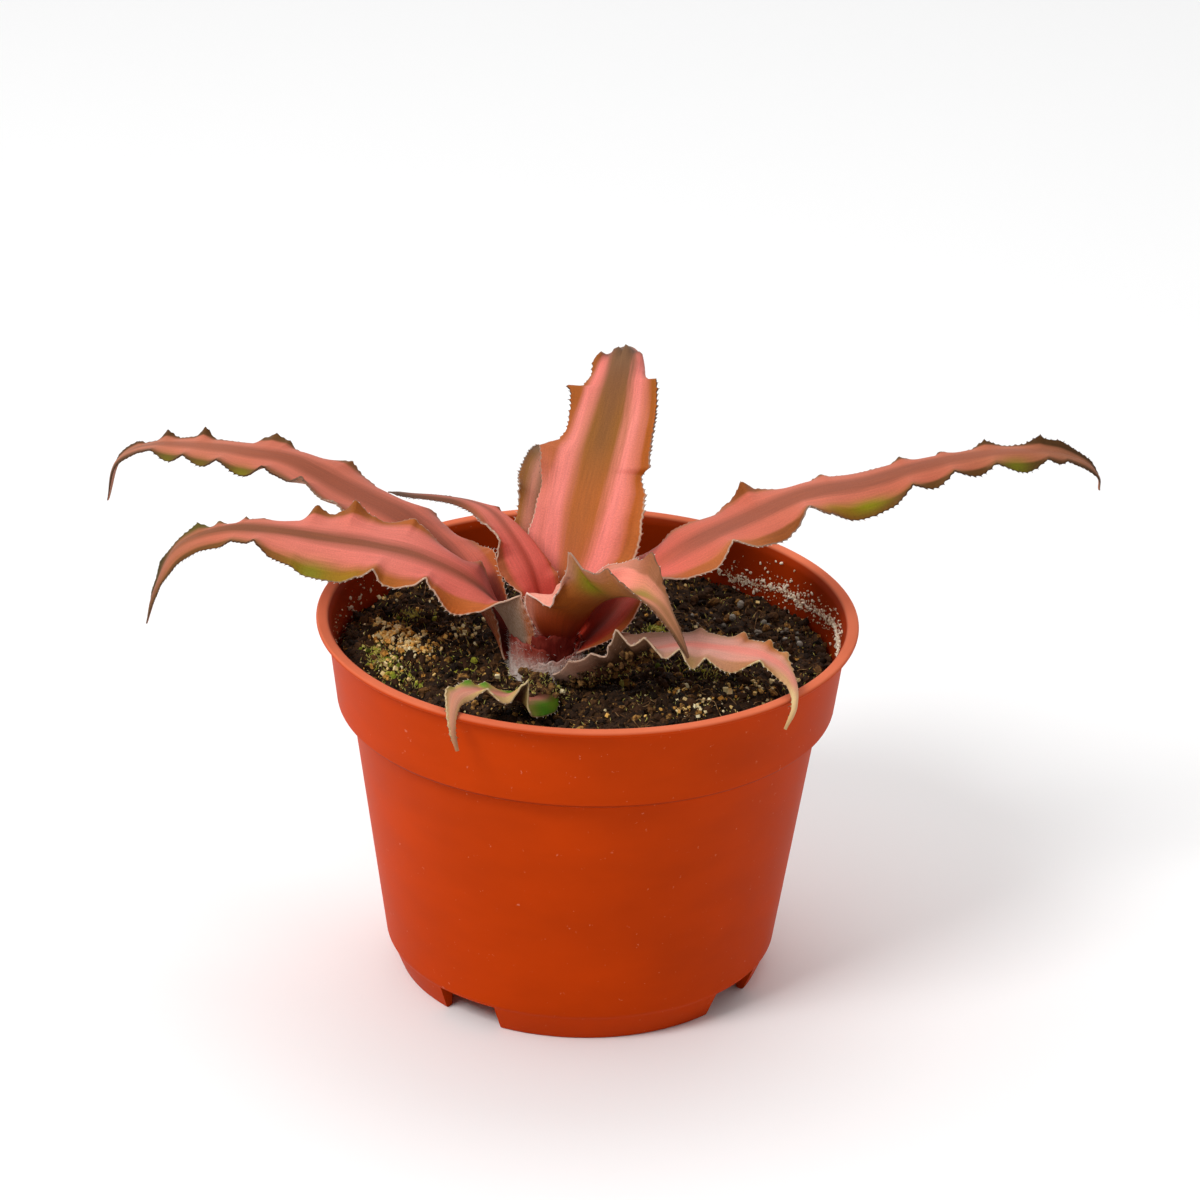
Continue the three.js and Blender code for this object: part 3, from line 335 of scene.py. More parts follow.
LOOKS = {
    "leaf_back": {
        "top": [
            (0.05, "#B8643A", 0.3, "#EE847C", "#B86430", 0.78),
            (0.3, "#B0652C", 0.38, "#EE8A82", "#AC5A20", 0.76),
            (0.5, "#946028", 0.42, "#EA8C82", "#A45818", 0.74),
            (0.68, "#80583A", 0.38, "#E48078", "#9A581A", 0.74),
            (0.8, "#7E5C44", 0.3, "#CC7A6C", "#6A4A20", 0.6),
        ],
        "under": PALE_UNDER,
        "lobe": [(0.2, "#B4642C"), (0.6, "#A65C20"), (1, "#6E4A24")],
        "edge": (STRAW, DARK_EDGE), "scurf": (0.02, 0.55),
        "patches": [
            ("top", 0.22, -0.95, 0.16, 0.32, "#EE8A82", 1), ("top", 0.745, 0, 0.022, 1.2, "#5E3A28", 0.9),
            ("top", 0.56, 0, 0.17, 0.2, "#7A5234", 0.6), ("top", 0.72, 0, 0.05, 0.3, "#7A5E44", 0.6),
        ],
        "ruffle": (0.735, 0.03, 1.8),
        "teeth": (0.35, 0.6), "spines": (0.4, 0.35, 0.3),
    },
    "leaf_back_left": {
        "top": [
            (0.1, "#A06A50", 0.2, "#D8806E", "#A8653C", 0.7),
            (0.5, "#9A7058", 0.25, "#C88874", "#9A6A34", 0.6),
            (0.9, "#7A5A44", 0.25, "#A87A62", "#5E4A34", 0.5),
        ],
        "under": PALE_UNDER,
        "lobe": [(0.2, "#A8642C"), (0.6, "#8A5E34"), (1, "#5A4A38")],
        "edge": (STRAW, "#5A4A40"), "scurf": (0.3, 0.6),
        "patches": [("top", 0.3, 0.8, 0.2, 0.3, "#B86A30", 0.7)],
        "teeth": (0.4, 0.6), "spines": (0.6, 0.45, 0.8),
    },
    "leaf_left_upper": {
        "top": [
            (0.03, "#732518", 0.3, "#882D21", "#832B1F", 0.8),
            (0.22, "#8B4632", 0.3, "#C46453", "#9B4D27", 0.78),
            (0.42, "#914C36", 0.3, "#BE6651", "#954D27", 0.8),
            (0.58, "#954F37", 0.3, "#C46D58", "#90512C", 0.8),
            (0.75, "#A25F47", 0.32, "#C6765E", "#835330", 0.8),
            (0.92, "#98634C", 0.35, "#AD7358", "#624329", 0.7),
            (1, "#734F3B", 0.3, "#755540", "#533D2C", 0.7),
        ],
        "under": [
            (0, "#7A3020", 0.3, "#8E4028", "#9A5A34", 0.75),
            (0.4, "#A8765C", 0.3, "#B0806A", "#9A6844", 0.8),
        ],
        "lobe": OUTER_LOBES, "edge": (STRAW, DARK_EDGE), "scurf": (0.03, 0.5),
        "patches": [
            ("top", 0.35, -1, 0.035, 0.2, "#9A5424", 0.8), ("top", 0.46, -1, 0.03, 0.2, "#8E4E20", 0.8),
            ("top", 0.565, -1, 0.025, 0.25, "#7E4A1C", 0.9),
            ("top", 0.643, -0.95, 0.022, 0.25, "#767010", 0.9),
            ("top", 0.727, -0.95, 0.018, 0.25, "#6E5E18", 0.85),
            ("top", 0.793, -0.95, 0.018, 0.25, "#6E6A18", 0.8),
        ],
        "teeth": (0.4, 0.55), "spines": (0.8, 0.3, 0.55),
    },
    "leaf_left_lower": {
        "top": [
            (0.04, "#8B3D2C", 0.2, "#BA594C", "#9E491E", 0.8),
            (0.2, "#944D39", 0.16, "#D36A5E", "#9E531E", 0.78),
            (0.36, "#8B4D36", 0.2, "#D9786C", "#A0571E", 0.78),
            (0.52, "#854B30", 0.24, "#D7786A", "#975A22", 0.8),
            (0.68, "#834D30", 0.34, "#C56F58", "#8A5A2C", 0.8),
            (0.82, "#92593C", 0.4, "#B46F55", "#9E6339", 0.8),
            (1, "#6E4F38", 0.4, "#785743", "#5B4427", 0.6),
        ],
        "under": [
            (0, "#A4907A", 0.3, "#9A8470", "#A88870", 0.8),
            (0.4, "#A87A64", 0.3, "#B08A74", "#9A6844", 0.8),
        ],
        "lobe": [(0.12, "#C06A34"), (0.35, "#A65A22"), (0.6, "#7E501E"), (1, "#4A3A24")],
        "edge": (STRAW, DARK_EDGE), "scurf": (0.02, 0.75),
        "patches": [
            ("top", 0.49, -0.95, 0.05, 0.24, "#787A08", 0.95),
            ("top", 0.42, -0.97, 0.05, 0.18, "#96760E", 0.85),
            ("top", 0.33, -1, 0.04, 0.25, "#A05C18", 0.9), ("top", 0.16, -1, 0.05, 0.22, "#B05820", 0.75),
            ("top", 0.76, 0.95, 0.05, 0.4, "#5E5A24", 0.9), ("top", 0.88, 0.95, 0.08, 0.45, "#4A4226", 0.9),
        ],
        "teeth": (0.4, 0.5), "spines": (0.9, 0.3, 0.7),
    },
    "leaf_left_inner": {
        "top": [
            (0.05, "#A83A2C", 0.12, "#D05A50", "#C05A48", 0.85),
            (0.28, "#AE4A3C", 0.14, "#DC6A60", "#B0562E", 0.76),
            (0.5, "#A05444", 0.18, "#CC6C5E", "#9C5030", 0.68),
            (0.72, "#8A5648", 0.25, "#A8685A", "#6E4634", 0.6),
            (1, "#6A5248", 0.3, "#6A5248", "#54443A", 0.6),
        ],
        "under": PALE_UNDER,
        "lobe": [(0.1, "#B0603C"), (0.5, "#8E5034"), (1, "#5A443A")],
        "edge": (STRAW, "#7A6458"), "scurf": (0.06, 0.6), "patches": [],
        "teeth": (0.4, 0.5), "spines": (0.8, 0.7, 0.95),
    },
    "leaf_right": {
        "top": [
            (0.04, "#83281E", 0.3, "#B43724", "#C84E37", 0.85),
            (0.14, "#D46654", 0.2, "#DC675B", "#C06D44", 0.8),
            (0.3, "#9D5744", 0.3, "#CC6B58", "#A66133", 0.8),
            (0.48, "#9A5640", 0.34, "#C9705A", "#A0622E", 0.84),
            (0.64, "#96543E", 0.36, "#BE6850", "#8A5C2A", 0.84),
            (0.8, "#A05E46", 0.36, "#B46C50", "#6A4A28", 0.82),
            (0.93, "#9C6A52", 0.4, "#9E6A50", "#5A4028", 0.75),
            (1, "#7A5844", 0.4, "#7A5844", "#4A3828", 0.75),
        ],
        "under": [
            (0, "#6A1E1C", 0.3, "#A82E1E", "#B83A24", 0.9),
            (0.3, "#A8745C", 0.3, "#B08068", "#9A6844", 0.8),
        ],
        "lobe": OUTER_LOBES, "edge": (STRAW, DARK_EDGE), "scurf": (0.02, 0.1),
        "patches": [
            ("top", 0.55, 0.78, 0.035, 0.14, "#86860A", 0.95),
            ("top", 0.5, 0.8, 0.03, 0.14, "#96760E", 0.8), ("top", 0.81, 0.85, 0.025, 0.3, "#7F8A14", 0.6),
            ("top", 0.3, 0.95, 0.06, 0.25, "#C87A44", 0.6),
        ],
        "teeth": (0.4, 0.6), "spines": (0.85, 0.4, 0.7),
    },
    "leaf_front": {
        "top": [
            (0.1, "#A8402E", 0.2, "#D0665A", "#DC8A7E", 0.85),
            (0.3, "#B0503C", 0.2, "#D8786A", "#EAA092", 0.8),
            (0.45, "#C88068", 0.2, "#EC9484", "#EAA496", 0.8),
            (0.6, "#BC8458", 0.24, "#DE917A", "#BC8468", 0.75),
            (0.8, "#A87450", 0.3, "#BC8260", "#86603C", 0.6),
            (1, "#8A6248", 0.3, "#8A6248", "#6A4C38", 0.6),
        ],
        "under": [
            (0.03, "#6A1208", 0.3, "#80200E", "#9A3220", 0.9),
            (0.17, "#84300E", 0.3, "#A8461E", "#B4582E", 0.85),
            (0.3, "#8E4E1A", 0.34, "#A85C22", "#B8663A", 0.88),
            (0.5, "#946430", 0.3, "#B0743C", "#B8754C", 0.85),
            (0.75, "#A0745A", 0.3, "#A8785A", "#8A6244", 0.7),
            (1, "#8A6248", 0.3, "#8A6248", "#6A4C38", 0.6),
        ],
        "lobe": [(0.1, "#D88A78"), (0.4, "#CC8C78"), (0.6, "#A06A48"), (1, "#6A4C38")],
        "edge": ("#E8CCBC", "#7A5A44"), "scurf": (0.03, 0.16),
        "patches": [
            ("under", 0.46, 0.6, 0.04, 0.25, "#7A8410", 0.85),
            ("top", 0.62, -0.1, 0.06, 0.3, "#8A8430", 0.7), ("top", 0.31, 0.98, 0.1, 0.22, "#EAA092", 0.95),
            ("under", 0.22, 0.95, 0.05, 0.25, "#C87860", 0.6),
        ],
        "teeth": (0.3, 0.45), "spines": (0.75, 0.4, 0.9),
        "lips": [(1, 0.33, 0.08, 2.6, 0.8)],
    },
    "leaf_right_low": {
        "top": [
            (0.05, "#A07060", 0.2, "#A87A6A", "#A88A78", 0.8),
            (0.3, "#BC7466", 0.2, "#B88A80", "#A88470", 0.75),
            (0.5, "#DC8478", 0.3, "#D09A8E", "#B88A70", 0.8),
            (0.7, "#E88E82", 0.4, "#D89688", "#B87E54", 0.8),
            (0.84, "#D89080", 0.3, "#D09078", "#C8A070", 0.6),
            (0.9, "#D8B48A", 0.3, "#DCC090", "#E0CC98", 0.6),
            (1, "#C8A878", 0.3, "#C8A878", "#C8A878", 0.6),
        ],
        "under": [
            (0.02, "#A07468", 0.3, "#B08E82", "#B89484", 0.8),
            (0.13, "#84584A", 0.3, "#8E6452", "#A47866", 0.8),
            (0.22, "#3E2A1C", 0.3, "#4A3424", "#7A5A44", 0.85),
            (0.45, "#4A3626", 0.3, "#5A4430", "#86664C", 0.85),
        ],
        "lobe": [(0.15, "#B09080"), (0.5, "#BC8C74"), (0.72, "#B07848"), (0.86, "#D8B488"), (1, "#DCC48C")],
        "edge": (STRAW, "#E0CC98"), "scurf": (0.2, 0.35),
        "patches": [
            ("top", 0.69, -0.8, 0.03, 0.3, "#A8601E", 0.75),
            ("top", 0.6, -0.85, 0.025, 0.25, "#A8601E", 0.7), ("top", 0.48, 0.9, 0.03, 0.2, "#8E7A30", 0.6),
        ],
        "teeth": (0.4, 0.7), "spines": (0.75, 0.7, 0.9),
    },
    "leaf_front_low": {
        "top": [
            (0.06, "#3A2A1C", 0.3, "#4A3624", "#3E3C18", 0.7),
            (0.24, "#5A3A2A", 0.3, "#6A4434", "#5C6A1C", 0.6),
            (0.34, "#A8645A", 0.3, "#AC7064", "#4E8A14", 0.55),
            (0.45, "#BC7468", 0.3, "#B87C6A", "#C0A060", 0.75),
            (0.6, "#C47C6E", 0.3, "#C08474", "#C8A860", 0.75),
            (0.85, "#C48A70", 0.3, "#CC947A", "#D8AC80", 0.7),
            (1, "#A87858", 0.3, "#A87858", "#A87858", 0.7),
        ],
        # painted shade: the under side is painted dark brown for the shadow it lies in
        "under": [
            (0, "#3A2C20", 0.3, "#3A2C20", "#4E3E2C", 0.8), (1, "#6E5644", 0.3, "#6E5644", "#7A6244", 0.7),
        ],
        "lobe": [(0.2, "#4E8A14"), (0.4, "#7A7A2A"), (0.5, "#B89A6A"), (1, "#A88A64")],
        "edge": ("#D8C88E", "#CDB48A"), "scurf": (0.1, 0.3),
        "patches": [
            ("top", 0.36, -0.95, 0.06, 0.45, "#3E7A0C", 0.95),
            ("top", 0.52, 0.95, 0.03, 0.4, "#4E8A14", 0.95),
            ("top", 0.62, 0.95, 0.035, 0.4, "#4E8A14", 0.95), ("top", 0.71, 0.9, 0.02, 0.3, "#7A8A2C", 0.7),
        ],
        "teeth": (0.4, 0.5), "spines": (0.6, 0.5, 0.8),
    },
}

# ---- small helpers ----


def linear(hex_colour):
    """The linear RGBA of an sRGB hex colour."""
    shares = [int(hex_colour[i:i + 2], 16) / 255 for i in (1, 3, 5)]
    return tuple(c / 12.92 if c <= 0.04045 else ((c + 0.055) / 1.055) ** 2.4 for c in shares) + (1.0,)


def shaded(colour, share=1):
    """The RGBA of a linear colour, darkened or brightened by a share."""
    return tuple(c * share for c in colour) + (1,)


def add(tree, kind, inputs=None, output=None, stops=None, **settings):
    """Adds a node and gives its named output, or else the first one that its settings leave in use.

    settings are its properties, inputs hold a value or the socket that feeds each, and stops are a ramp's.
    """
    made = tree.nodes.new(kind)
    for key, value in settings.items():
        setattr(made, key, value)
    for key, value in (inputs or {}).items():
        slot = next(s for place, s in enumerate(made.inputs) if key in (place, s.name) and s.enabled)
        if isinstance(value, bpy.types.NodeSocket):
            tree.links.new(value, slot)
        else:
            slot.default_value = value
    if stops:
        elements = made.color_ramp.elements
        elements[1].position, elements[1].color = stops[-1]
        elements[0].position, elements[0].color = stops[0]
        for position, colour in stops[1:-1]:
            elements.new(position).color = colour
    return next((s for s in made.outputs if s.enabled and output in (None, s.name)), None)


def new_material(name):
    """An empty node material and its tree."""
    material = bpy.data.materials.new(name)
    material.use_nodes = True
    material.node_tree.nodes.clear()
    return material, material.node_tree


def placed(name, data):
    """A new object for the data, in the scene."""
    made = bpy.data.objects.new(name, data)
    bpy.context.scene.collection.objects.link(made)
    return made


def mesh_object(name, points, faces, material=None):
    """A smooth mesh object at the origin, from points in metres."""
    mesh = bpy.data.meshes.new(name)
    mesh.from_pydata([tuple(p) for p in points], [], faces)
    mesh.validate()
    mesh.shade_smooth()
    if material:
        mesh.materials.append(material)
    return placed(name, mesh)


def mark(mesh, **values):
    """Stores values on a mesh's points under their names: numbers, vectors or colours."""
    kinds = {1: ("FLOAT", "value"), 3: ("FLOAT_VECTOR", "vector"), 4: ("FLOAT_COLOR", "color")}
    for name, numbers in values.items():
        rows = np.asarray(numbers, np.float32).reshape(len(mesh.vertices), -1)
        kind, field = kinds[rows.shape[1]]
        mesh.attributes.new(name, kind, "POINT").data.foreach_set(field, rows.ravel())


def ring(radius, sides):
    """Evenly spaced points (x, y) on a circle about the pot's axis."""
    angles = [2 * math.pi * side / sides for side in range(sides)]
    return [(radius * math.cos(angle), radius * math.sin(angle)) for angle in angles]


def baked(source, name):
    """The evaluated mesh of an object with modifiers as a plain object; the source is removed."""
    bpy.context.view_layer.update()
    depsgraph = bpy.context.evaluated_depsgraph_get()
    mesh = bpy.data.meshes.new_from_object(source.evaluated_get(depsgraph), depsgraph=depsgraph)
    mesh.name = name
    bpy.data.objects.remove(source)
    return placed(name, mesh)


def settle(piece, slot, *nodes):
    """Puts a finished piece on the frame: what carries it and what it stands for; its slot is not used."""
    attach(piece, "root")
    if nodes:
        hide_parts(*nodes)
    return piece


def smoothstep(low, high, x):
    """0 up to low, 1 from high on, and a soft rise between them."""
    t = np.clip((x - low) / (high - low), 0, 1)
    return t * t * (3 - 2 * t)


def along(values, s):
    """A smooth curve through evenly spaced values, read at s from 0 to 1."""
    values = np.asarray(values, float)
    padded = np.concatenate([[2 * values[0] - values[1]], values, [2 * values[-1] - values[-2]]])
    spans = len(values) - 1
    x = np.clip(np.asarray(s, float) * spans, 0, spans - 1e-9)
    i = x.astype(int)
    t = x - i
    p0, p1, p2, p3 = padded[i], padded[i + 1], padded[i + 2], padded[i + 3]
    m1, m2 = (p2 - p0) / 2, (p3 - p1) / 2
    return ((2 * p1 - 2 * p2 + m1 + m2) * t + (-3 * p1 + 3 * p2 - 2 * m1 - m2)) * t * t + m1 * t + p1


def even_path(points, pitch):
    """Evenly spaced points on the smooth curve through the given ones, and its length."""
    samples_between = 120
    fine = np.linspace(0, 1, samples_between * (len(points) - 1) + 1)
    curve = np.stack([along(axis, fine) for axis in zip(*points)], 1)
    lengths = np.concatenate([[0], np.cumsum(np.linalg.norm(np.diff(curve, axis=0), axis=1))])
    steps = round(lengths[-1] / pitch)
    goals = np.linspace(0, lengths[-1], steps + 1)
    return np.stack([np.interp(goals, lengths, axis) for axis in curve.T], 1), lengths[-1]

# ---- materials ----


def moulded_polypropylene(settings):
    """Moulded polypropylene: an even body colour, a satin skin, flow marks and dust, painted shade inside
    and under the band, and a rim that is worn and has a painted sheen.
    """
    material, tree = new_material("moulded_polypropylene")
    place = add(tree, "ShaderNodeTexCoord", output="Object")
    # flow marks of 25 by 11 mm, a grain of 0.4 mm and specks of dust of 1.4 mm
    drawn = add(tree, "ShaderNodeMapping", {"Vector": place, "Scale": (40, 40, 90)})
    flow = add(tree, "ShaderNodeTexNoise", {"Vector": drawn, "Scale": 1.0, "Detail": 3.0})
    grain = add(tree, "ShaderNodeTexNoise", {"Vector": place, "Scale": 2600, "Detail": 2.0})
    specks = add(tree, "ShaderNodeTexNoise", {
        "Vector": place, "Scale": 700, "Detail": 3.0, "Roughness": 0.7})
    body = settings.pot_colour
    colour = add(tree, "ShaderNodeValToRGB", {"Fac": flow}, stops=[
        (0.3, shaded(body, 0.88)), (0.7, shaded(body, 1.04))])
    dust = add(tree, "ShaderNodeMapRange", {
        "Value": specks, "From Min": 0.68, "From Max": 0.75, "To Max": 0.35})
    colour = add(tree, "ShaderNodeMix", {
        "Factor": dust, "A": colour, "B": linear("#E8A58A")}, data_type="RGBA")
    # painted shade: the inside wall and the corner under the band are darkened where shadow falls
    height = add(tree, "ShaderNodeSeparateXYZ", {0: place}, "Z")
    normal = add(tree, "ShaderNodeNewGeometry", output="Normal")
    level = add(tree, "ShaderNodeVectorMath", {0: normal, 1: (1, 1, 0)}, operation="MULTIPLY")
    facing = add(tree, "ShaderNodeVectorMath", {0: level, 1: place}, operation="DOT_PRODUCT")
    inside = add(tree, "ShaderNodeMapRange", {
        "Value": facing, "From Min": -0.01, "From Max": -0.03, "To Max": 0.45})
    # a painted shadow under the band's step
    corner = add(tree, "ShaderNodeMapRange", {
        "Value": height, "From Min": (BAND_FOOT_Z - 2.2) * MM, "From Max": (BAND_FOOT_Z - 0.1) * MM,
        "To Max": 0.4})
    below = add(tree, "ShaderNodeMath", {0: height, 1: (BAND_FOOT_Z + 0.05) * MM}, operation="LESS_THAN")
    corner = add(tree, "ShaderNodeMath", {0: corner, 1: below}, operation="MULTIPLY")
    painted_shade = add(tree, "ShaderNodeMath", {0: inside, 1: corner}, operation="MAXIMUM")
    colour = add(tree, "ShaderNodeMix", {
        "Factor": painted_shade, "A": colour, "B": linear("#480A04")}, data_type="RGBA")
    # the lip's top is paler than the wall: partly scuffed and worn, partly a painted sheen where it catches
    # the light
    wear_and_sheen = add(tree, "ShaderNodeMapRange", {
        "Value": height, "From Min": (POT_HEIGHT - 0.55) * MM, "From Max": (POT_HEIGHT - 0.1) * MM})
    wear_and_sheen_share = add(tree, "ShaderNodeMapRange", {
        "Value": flow, "From Min": 0.3, "From Max": 0.7, "To Min": 0.55, "To Max": 0.85})
    wear_and_sheen = add(tree, "ShaderNodeMath", {0: wear_and_sheen, 1: wear_and_sheen_share}, operation="MULTIPLY")
    colour = add(tree, "ShaderNodeMix", {
        "Factor": wear_and_sheen, "A": colour, "B": linear("#E47C58")}, data_type="RGBA")
    bump = add(tree, "ShaderNodeBump", {"Strength": 0.06, "Distance": 0.0002, "Height": grain})
    rough = add(tree, "ShaderNodeMapRange", {"Value": flow, "To Min": 0.4, "To Max": 0.55})
    shader = add(tree, "ShaderNodeBsdfPrincipled", {
        "Base Color": colour, "Roughness": rough, "IOR": 1.49, "Specular IOR Level": 0.03, "Normal": bump})
    add(tree, "ShaderNodeOutputMaterial", {"Surface": shader})
    return material


def damp_peat(settings):
    """Damp peat: almost black where it is wet, brown on its dry crumbs, and wholly matt."""
    material, tree = new_material("damp_peat")
    place = add(tree, "ShaderNodeTexCoord", output="Object")
    # blotches of 2 mm and lumps of 1 mm
    tone = add(tree, "ShaderNodeTexNoise", {
        "Vector": place, "Scale": 520, "Detail": 6.0, "Roughness": 0.7})
    lumps = add(tree, "ShaderNodeTexNoise", {
        "Vector": place, "Scale": 900, "Detail": 5.0, "Roughness": 0.7})
    dark = settings.soil_colour
    colour = add(tree, "ShaderNodeValToRGB", {"Fac": tone}, stops=[
        (0.34, shaded(dark, 0.35)), (0.48, shaded(dark)), (0.58, linear("#4A3018")),
        (0.7, linear("#86602E"))])
    bump = add(tree, "ShaderNodeBump", {"Strength": 1.0, "Distance": 0.0007, "Height": lumps})
    shader = add(tree, "ShaderNodeBsdfPrincipled", {
        "Base Color": colour, "Roughness": 0.9, "Specular IOR Level": 0.25, "Normal": bump})
    add(tree, "ShaderNodeOutputMaterial", {"Surface": shader})
    return material


def loose_bits(name, stops, roughness=0.9):
    """Small loose pieces whose colour runs over a range, one tone for each piece, mottled and matt."""
    material, tree = new_material(name)
    tone = add(tree, "ShaderNodeAttribute", output="Fac", attribute_name="tone")
    place = add(tree, "ShaderNodeTexCoord", output="Object")
    # a mottle of half a millimetre
    mottle = add(tree, "ShaderNodeTexNoise", {"Vector": place, "Scale": 1800, "Detail": 2.0})
    tone = add(tree, "ShaderNodeMath", {0: mottle, 1: 0.5, 2: tone}, operation="MULTIPLY_ADD")
    tone = add(tree, "ShaderNodeMath", {0: tone, 1: 0.25}, operation="SUBTRACT")
    colour = add(tree, "ShaderNodeValToRGB", {"Fac": tone}, stops=[
        (at, linear(shade) if isinstance(shade, str) else shade) for at, shade in stops])
    bump = add(tree, "ShaderNodeBump", {"Strength": 0.5, "Distance": 0.0002, "Height": mottle})
    shader = add(tree, "ShaderNodeBsdfPrincipled", {
        "Base Color": colour, "Roughness": roughness, "Specular IOR Level": 0.25, "Normal": bump})
    add(tree, "ShaderNodeOutputMaterial", {"Surface": shader})
    return material


# how far a colour across the blade runs into the next, on the band's side and on the flank's
BAND_EASE = 0.14
FLANK_EASE = 0.12


def cross_section(middle, width, flank, margin_colour, start):
    """Colour stops across the blade, from its left margin to its right one."""
    half = [(max(width - BAND_EASE, 0.01), middle), (width + FLANK_EASE, flank),
            (start - FLANK_EASE, flank), (min(start + BAND_EASE, 0.99), margin_colour)]
    both = [(-v, shade) for v, shade in reversed(half)] + half
    return [((v + 1) / 2, linear(shade)) for v, shade in both]


def banded(tree, across, place, sections):
    """Colour across the blade from its cross-sections, each eased into the next along it."""
    colour = None
    for k, (start, *section) in enumerate(sections):
        ramp = add(tree, "ShaderNodeValToRGB", {"Fac": across}, stops=cross_section(*section))
        if colour is None:
            colour = ramp
            continue
        share = add(tree, "ShaderNodeMapRange", {
            "Value": place, "From Min": sections[k - 1][0], "From Max": start},
            interpolation_type="SMOOTHSTEP")
        colour = add(tree, "ShaderNodeMix", {"Factor": share, "A": colour, "B": ramp}, data_type="RGBA")
    return colour


